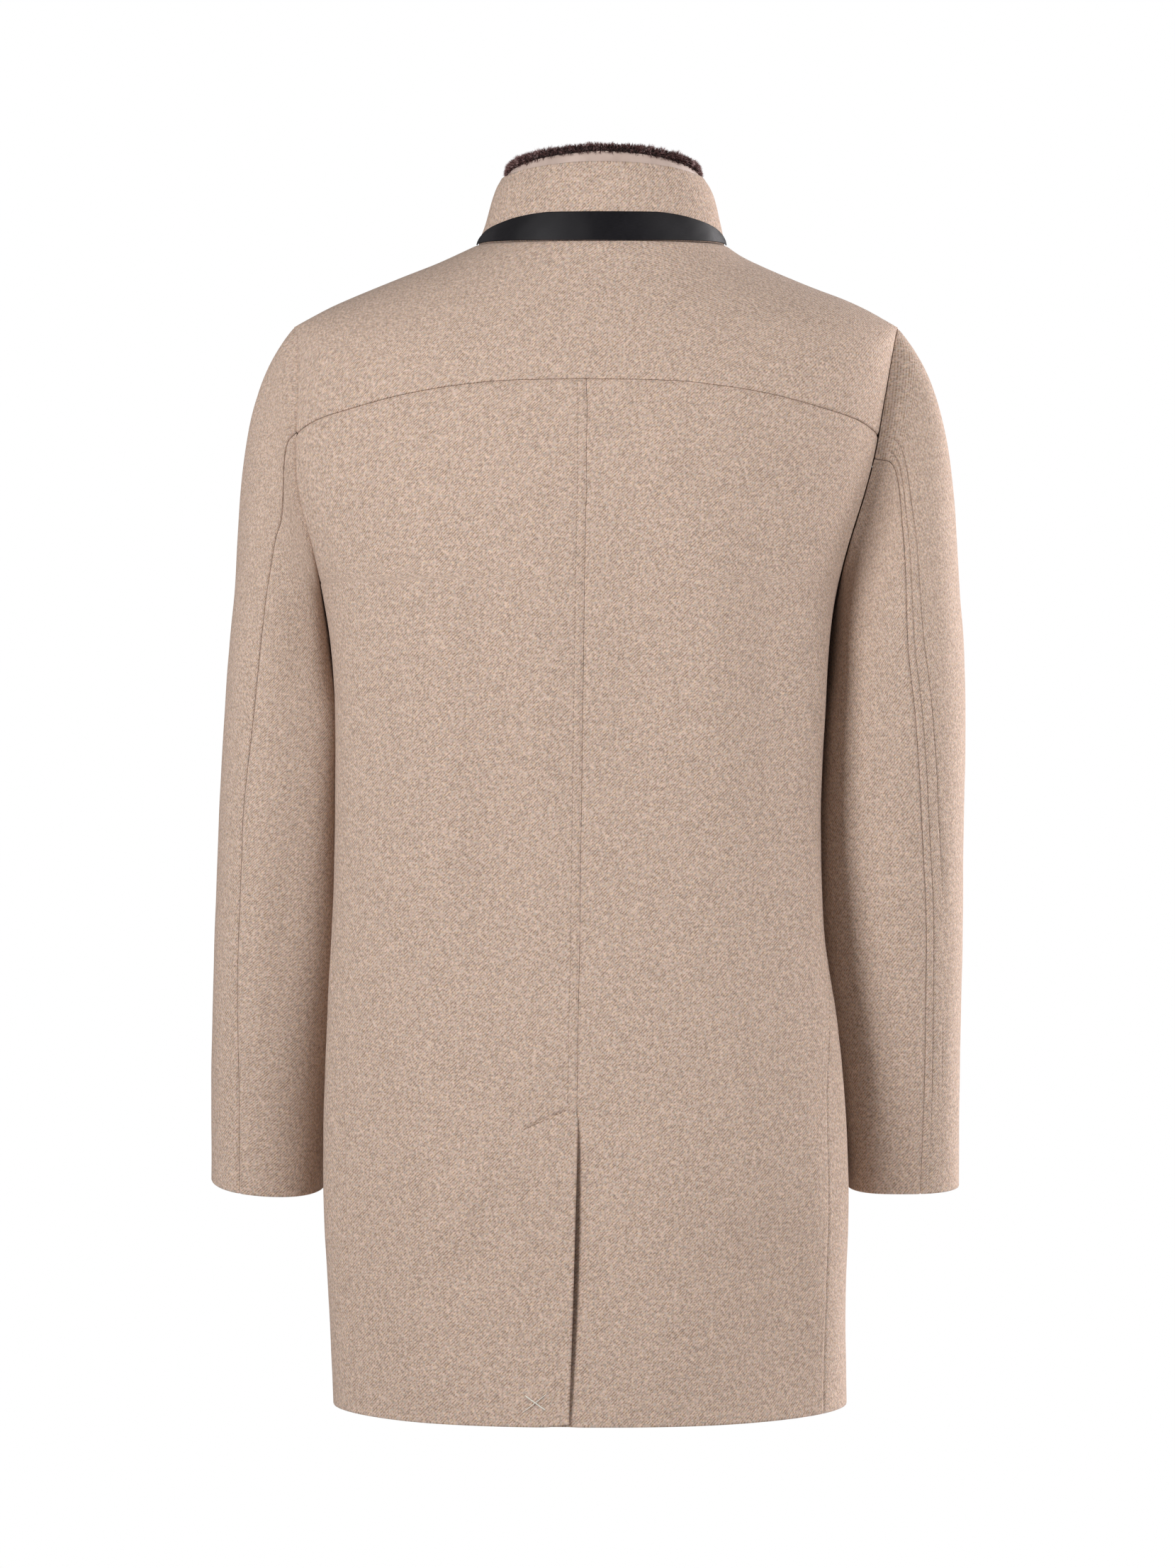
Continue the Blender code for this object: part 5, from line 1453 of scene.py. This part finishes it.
def strands(name, spots, seed, share_range, row_range):
    """Pile strands: three-sided, tapered, bent, leaning in clumps."""
    rng = np.random.default_rng(seed)
    section = dense(FUR_SECTION, 176)
    grid_share = np.linspace(-0.985, 0.985, 401)
    grid = fur_loop(grid_share, section)
    mid = grid.mean(axis=0, keepdims=True)
    tangent_s = np.gradient(grid, axis=1)
    tangent_r = np.roll(grid, -1, axis=0) - np.roll(grid, 1, axis=0)
    normal = np.cross(tangent_r, tangent_s)
    normal /= np.maximum(np.linalg.norm(normal, axis=2, keepdims=True), 1e-9)
    flip = np.sign(np.sum(normal * (grid - mid), axis=2).mean())
    normal *= flip
    area = np.linalg.norm(tangent_r, axis=2) * np.linalg.norm(tangent_s, axis=2)
    rows = np.arange(len(section))
    allowed = (rows >= row_range[0] * 16) & (rows <= row_range[1] * 16)
    weight = area * allowed[:, None]
    pick = rng.choice(weight.size, size=spots, p=(weight / weight.sum()).ravel())
    r, c = np.unravel_index(pick, weight.shape)
    fr, fc = rng.random(spots), rng.random(spots)
    r2, c2 = (r + 1) % len(section), np.minimum(c + 1, grid.shape[1] - 1)
    root = (
        grid[r, c] * ((1 - fr) * (1 - fc))[:, None]
        + grid[r2, c] * (fr * (1 - fc))[:, None]
        + grid[r, c2] * ((1 - fr) * fc)[:, None]
        + grid[r2, c2] * (fr * fc)[:, None]
    )
    out = normal[r, c]
    # clumps: a slow field that leans and lengthens neighbouring strands together
    x, y, z = (root * 1000.0).T
    clump = np.sin(1.1 * x + 0.7 * z + 1.3 * np.sin(0.6 * y)) * np.sin(0.9 * y - 0.8 * z + 0.4 * x)
    lean = np.stack(
        [np.sin(0.9 * z + 0.8 * y), np.sin(1.0 * x + 0.5 * z), 0.25 + 0.6 * np.sin(0.8 * x - 0.7 * y)], 1
    )
    way = out + 0.42 * lean + 0.30 * rng.normal(size=(spots, 3))
    way /= np.linalg.norm(way, axis=1, keepdims=True)
    tuft = np.sin(0.42 * x + 1.7 * np.sin(0.13 * x) + 0.25 * y) * np.sin(0.23 * x - 0.31 * y + 0.9)
    long = PILE * (0.66 + 0.22 * clump + 0.24 * tuft + 0.24 * rng.random(spots))
    bend = np.cross(way, rng.normal(size=(spots, 3)))
    bend /= np.linalg.norm(bend, axis=1, keepdims=True)
    e1 = np.cross(way, bend)
    wide = 0.00021 * (0.75 + 0.5 * rng.random(spots))
    turn = 2 * np.pi * np.arange(3) / 3
    rings = []
    for t, w in ((0.0, 1.0), (0.5, 0.85)):
        centre = root + way * (long * t)[:, None] + bend * (long * 0.22 * t * t)[:, None]
        rings.append(
            centre[:, None, :]
            + (wide * w)[:, None, None]
            * (np.cos(turn)[None, :, None] * e1[:, None, :] + np.sin(turn)[None, :, None] * bend[:, None, :])
        )
    tip = root + way * long[:, None] + bend * (long * 0.22)[:, None]
    verts = np.concatenate([rings[0], rings[1], tip[:, None, :]], axis=1).reshape(-1, 3)
    quad = np.array([[0, 1, 4, 3], [1, 2, 5, 4], [2, 0, 3, 5]])
    tri = np.array([[3, 4, 6], [4, 5, 6], [5, 3, 6], [0, 2, 1]])
    base = (7 * np.arange(spots))[:, None, None]
    tips = np.tile([0, 0, 0, 0.5, 0.5, 0.5, 1.0], spots)
    frost = np.clip(np.sin(0.19 * x + 0.8) * np.sin(0.33 * x + 0.27 * z - 0.6), 0, 1)
    tone = np.clip(0.40 + 0.15 * clump + 0.12 * tuft + 0.34 * frost + 0.22 * rng.normal(size=spots), 0, 1)
    piece = mesh_object(
        name,
        verts,
        (quad[None] + base).reshape(-1, 4),
        (tri[None] + base).reshape(-1, 3),
        FUR,
        None,
        {"tip": tips, "tone": np.repeat(tone, 7)},
    )
    return place(piece, "brown_fur")


strands("fur_pile_crest", 17000, 11, None, (2.6, 7.4))
strands("fur_pile_lining", 13000, 12, None, (7.4, 10.6))

# ---------------------------------------------------------------- stitches and tacks
ends = [stitches(q, m, 0.00005) for q, m in sleeve_stitches["right"]]
a, b, up = (np.concatenate(part) for part in zip(*ends))
place(capsules("stitches_sleeve_right", a, b, THREAD, TONAL, 6, up * 0.00022), "wool_twill")


def back_surface(level, dist):
    p, n = body.point(level, dist), body.normal(level, dist)
    return p + n * relief(p, n)[:, None], n


level = np.linspace(-0.1065, VENT_TOP + 0.003, 400)
q, m = back_surface(level, centre_back(level) + TOPSTITCH)
first = stitches(q - m * 0.00038, m, 0.00005)
(x0, z0), (x1, z1) = DIAGONAL
t = np.linspace(0, 1, 40)
level = z0 + (z1 - z0) * t
q, m = back_surface(level, (x0 + (x1 - x0) * t) - body.at(body.x_mid, level))
second = stitches(q - m * 0.0012, m, 0.00005)
a, b, up = (np.concatenate(part) for part in zip(first, second))
place(capsules("stitches_back", a, b, THREAD, TONAL, 6, up * 0.00022), "wool_twill")

# crossed tack that holds the vent shut, near its foot on the left back
Tack = namedtuple("Tack", "x0 z0 x1 z1 radius lift")
TACKS = [
    Tack(0.0475, -0.8770, 0.0314, -0.8884, 0.00052, 0.0010),
    Tack(0.0306, -0.8753, 0.0497, -0.8903, 0.00028, 0.0015),
]
for k, tack in enumerate(TACKS, 1):
    t = np.linspace(0, 1, 15)
    level = tack.z0 + (tack.z1 - tack.z0) * t
    q, m = back_surface(level, tack.x0 + (tack.x1 - tack.x0) * t - body.at(body.x_mid, level))
    q = q + m * (tack.lift * np.sin(np.pi * t) ** 0.6 - 0.0002)[:, None]
    turn = 2 * np.pi * np.arange(8) / 8
    axis = np.gradient(q, axis=0)
    axis /= np.linalg.norm(axis, axis=1, keepdims=True)
    e1 = np.cross(axis, m)
    e1 /= np.linalg.norm(e1, axis=1, keepdims=True)
    r = tack.radius * np.r_[0.4, np.ones(13), 0.4]
    ring = q[:, None] + r[:, None, None] * (np.cos(turn)[None, :, None] * e1[:, None] + np.sin(turn)[None, :, None] * m[:, None])
    verts = ring.reshape(-1, 3)
    i, j = np.meshgrid(np.arange(14), np.arange(8), indexing="ij")
    quads = np.stack([i * 8 + j, i * 8 + (j + 1) % 8, (i + 1) * 8 + (j + 1) % 8, (i + 1) * 8 + j], 2).reshape(-1, 4)
    caps = [[0, k2 + 1, k2] for k2 in range(1, 7)] + [[112, 112 + k2, 113 + k2] for k2 in range(1, 7)]
    uv = np.stack([np.repeat(t * 0.02, 8), np.tile(turn * tack.radius, 15)], 1)
    place(mesh_object("tack_%d" % k, verts, quads, caps, IVORY, uv), "wool_twill")

# ---------------------------------------------------------------- buttons and buttonholes on the left front
Turn = namedtuple("Turn", "radius height")
BUTTON_TOP = [Turn(0.00, 0.52), Turn(0.45, 0.50), Turn(0.62, 0.60), Turn(0.76, 0.90), Turn(0.86, 1.00), Turn(0.95, 0.88), Turn(1.00, 0.55)]
HOLE_AT, HOLE_RADIUS = 0.0022, 0.0009
for k, level in enumerate(BUTTON_LEVELS, 1):
    level = np.float64(level)
    dist = centre_front(level, 1.0)
    spot, out = body.point(level, dist), body.normal(level, dist)
    spot = spot + out * (relief(spot[None], out[None])[0] + 2 * LAY)
    side = np.cross([0.0, 0.0, 1.0], out)
    side /= np.linalg.norm(side)
    up = np.cross(out, side)
    radii = np.r_[np.linspace(0.06, 0.5, 22), np.linspace(0.53, 1.0, 16)]
    turn = 2 * np.pi * np.arange(72) / 72
    top = np.array(BUTTON_TOP)
    rr, tt = np.meshgrid(radii, turn, indexing="ij")
    x, y = rr * BUTTON_RADIUS * np.cos(tt), rr * BUTTON_RADIUS * np.sin(tt)
    h = smooth(rr, top[:, 0], top[:, 1]) * BUTTON_THICK
    for hx, hy in ((1, 1), (1, -1), (-1, 1), (-1, -1)):
        away = np.hypot(x - hx * HOLE_AT * 0.7, y - hy * HOLE_AT * 0.7)
        h = h - 0.0016 * step((HOLE_RADIUS * 1.25 - away) / (HOLE_RADIUS * 0.5))
    h = np.maximum(h, 0.0003)
    face = spot + x[..., None] * side + y[..., None] * up + h[..., None] * out
    under_r = np.array([1.0, 0.96, 0.86, 0.5])
    under_h = np.array([0.30, 0.12, 0.02, 0.02]) * BUTTON_THICK
    under = spot + (under_r[:, None] * BUTTON_RADIUS * np.cos(turn)[None])[..., None] * side + (
        under_r[:, None] * BUTTON_RADIUS * np.sin(turn)[None]
    )[..., None] * up + under_h[:, None, None] * out
    rings = np.concatenate([face, under])
    rows = len(rings)
    verts = np.vstack([rings.reshape(-1, 3), spot + out * 0.52 * BUTTON_THICK, spot + out * 0.02 * BUTTON_THICK])
    i, j = np.meshgrid(np.arange(rows - 1), np.arange(72), indexing="ij")
    m = (j + 1) % 72
    quads = np.stack([i * 72 + j, (i + 1) * 72 + j, (i + 1) * 72 + m, i * 72 + m], 2).reshape(-1, 4)
    j = np.arange(72)
    m = (j + 1) % 72
    tris = np.vstack(
        [
            np.stack([np.full(72, rows * 72), j, m], 1),
            np.stack([np.full(72, rows * 72 + 1), (rows - 1) * 72 + m, (rows - 1) * 72 + j], 1),
        ]
    )
    place(mesh_object("horn_button_%d" % k, verts, quads, tris, HORN), "button", "button_%d" % k)
    # thread through the four holes
    a, b = [], []
    for hy in (1, -1):
        for lane in (-0.00030, 0.0, 0.00030):
            y0 = hy * HOLE_AT * 0.7 + lane
            base = 0.52 * BUTTON_THICK
            a.append(spot - side * HOLE_AT * 0.85 + up * y0 + out * (base - 0.0004))
            b.append(spot + side * HOLE_AT * 0.85 + up * y0 + out * (base - 0.0004))
    place(capsules("button_thread_%d" % k, a, b, 0.00024, TONAL, 6, np.repeat(out[None] * 0.0008, 6, 0)), "button")
    # buttonhole: close stitches along both lips of a slit that runs from the button to the left
    t = np.arange(0.004, 0.0285, 0.00075)
    lips_a, lips_b = [], []
    for lip in (1, -1):
        d = dist - t
        lv = np.full(len(t), level)
        for store, dz in ((lips_a, 0.00025), (lips_b, 0.0021)):
            q, m = back_surface(lv + lip * dz, d)
            store.append(q + m * 0.00012)
    turn = np.linspace(-0.5 * np.pi, 0.5 * np.pi, 9)
    for store, radius in ((lips_a, 0.00035), (lips_b, 0.0021)):
        q, m = back_surface(level + radius * np.sin(turn), dist - 0.0285 - radius * np.cos(turn))
        store.append(q + m * 0.00012)
    place(
        capsules("buttonhole_%d" % k, np.concatenate(lips_a), np.concatenate(lips_b), 0.00040, TONAL, 6),
        "wool_twill",
    )

# ---------------------------------------------------------------- a record type for a sheet's cut, not used
Cut = namedtuple("Cut", "piece width length area hangs_from")

# ---------------------------------------------------------------- floor, light and camera
FLOOR_Z, FLOOR_R = -1.48, 2.7


def floor_material():
    material, tree, shader = new_material("pale_floor")
    n = Nodes(tree)
    place_ = tree.nodes.new("ShaderNodeTexCoord")
    soft = n.noise(place_.outputs["Object"], 3.0, 2.0)
    tree.links.new(n.ramp(soft.outputs[0], [(0.3, (0.62, 0.62, 0.62)), (0.7, (0.67, 0.67, 0.67))]), shader.inputs["Base Color"])
    shader.inputs["Roughness"].default_value = 0.8
    return material


turn = 2 * np.pi * np.arange(128) / 128
verts = np.vstack([np.stack([FLOOR_R * np.cos(turn), FLOOR_R * np.sin(turn), np.full(128, FLOOR_Z)], 1), [[0, 0, FLOOR_Z]]])
tris = np.stack([np.arange(128), (np.arange(128) + 1) % 128, np.full(128, 128)], 1)
floor = mesh_object("floor", verts, [], tris, floor_material())

world = bpy.data.worlds.new("studio")
bpy.context.scene.world = world
world.use_nodes = True
tree = world.node_tree
tree.nodes.clear()
n = Nodes(tree)
fill = n.add("ShaderNodeBackground", Strength=0.10)
fill.inputs["Color"].default_value = (1.0, 0.985, 0.97, 1.0)
paper = n.add("ShaderNodeBackground", Strength=1.0)
paper.inputs["Color"].default_value = (1.0, 1.0, 1.0, 1.0)
path = tree.nodes.new("ShaderNodeLightPath")
mix = tree.nodes.new("ShaderNodeMixShader")
tree.links.new(path.outputs["Is Camera Ray"], mix.inputs[0])
tree.links.new(fill.outputs[0], mix.inputs[1])
tree.links.new(paper.outputs[0], mix.inputs[2])
out = tree.nodes.new("ShaderNodeOutputWorld")
tree.links.new(mix.outputs[0], out.inputs[0])

Lamp = namedtuple("Lamp", "name x y z to_z wide tall watts colour")
LAMPS = [
    Lamp("soft_left", 1.52, 1.81, 0.36, -0.26, 0.9, 1.2, 54.0, (1.0, 0.99, 0.985)),
    Lamp("soft_right", -1.99, 1.34, 0.36, -0.26, 0.9, 1.2, 32.0, (1.0, 0.99, 0.985)),
    Lamp("rim_left", 2.1, -1.5, 0.10, -0.40, 0.7, 2.2, 9.0, (1.0, 0.96, 0.97)),
    Lamp("rim_right", -2.1, -1.6, 0.10, -0.40, 0.7, 2.2, 50.0, (1.0, 0.96, 0.97)),
    Lamp("side_right", -2.45, -0.75, 0.10, -0.40, 0.7, 2.2, 38.0, (1.0, 0.97, 0.97)),
]
for lamp in LAMPS:
    light = bpy.data.lights.new(lamp.name, "AREA")
    light.shape, light.size, light.size_y = "RECTANGLE", lamp.wide, lamp.tall
    light.energy, light.color = lamp.watts, lamp.colour
    holder = bpy.data.objects.new(lamp.name, light)
    bpy.context.scene.collection.objects.link(holder)
    holder.location = (lamp.x, lamp.y, lamp.z)
    aim = Vector((0.0, 0.0, lamp.to_z)) - holder.location
    holder.rotation_euler = aim.to_track_quat("-Z", "Y").to_euler()

camera = bpy.data.cameras.new("camera")
camera.sensor_fit, camera.sensor_height, camera.sensor_width = "VERTICAL", 36.0, 27.0
camera.lens = 118.0
eye = bpy.data.objects.new("camera", camera)
bpy.context.scene.collection.objects.link(eye)
eye.location = (0.0, 4.037, -0.4126)
eye.rotation_euler = Vector((0.0, -1.0, 0.0)).to_track_quat("-Z", "Y").to_euler()
bpy.context.scene.camera = eye
bpy.context.scene.view_settings.view_transform = "Standard"
bpy.context.scene.view_settings.look = "None"

bpy.context.view_layer.update()
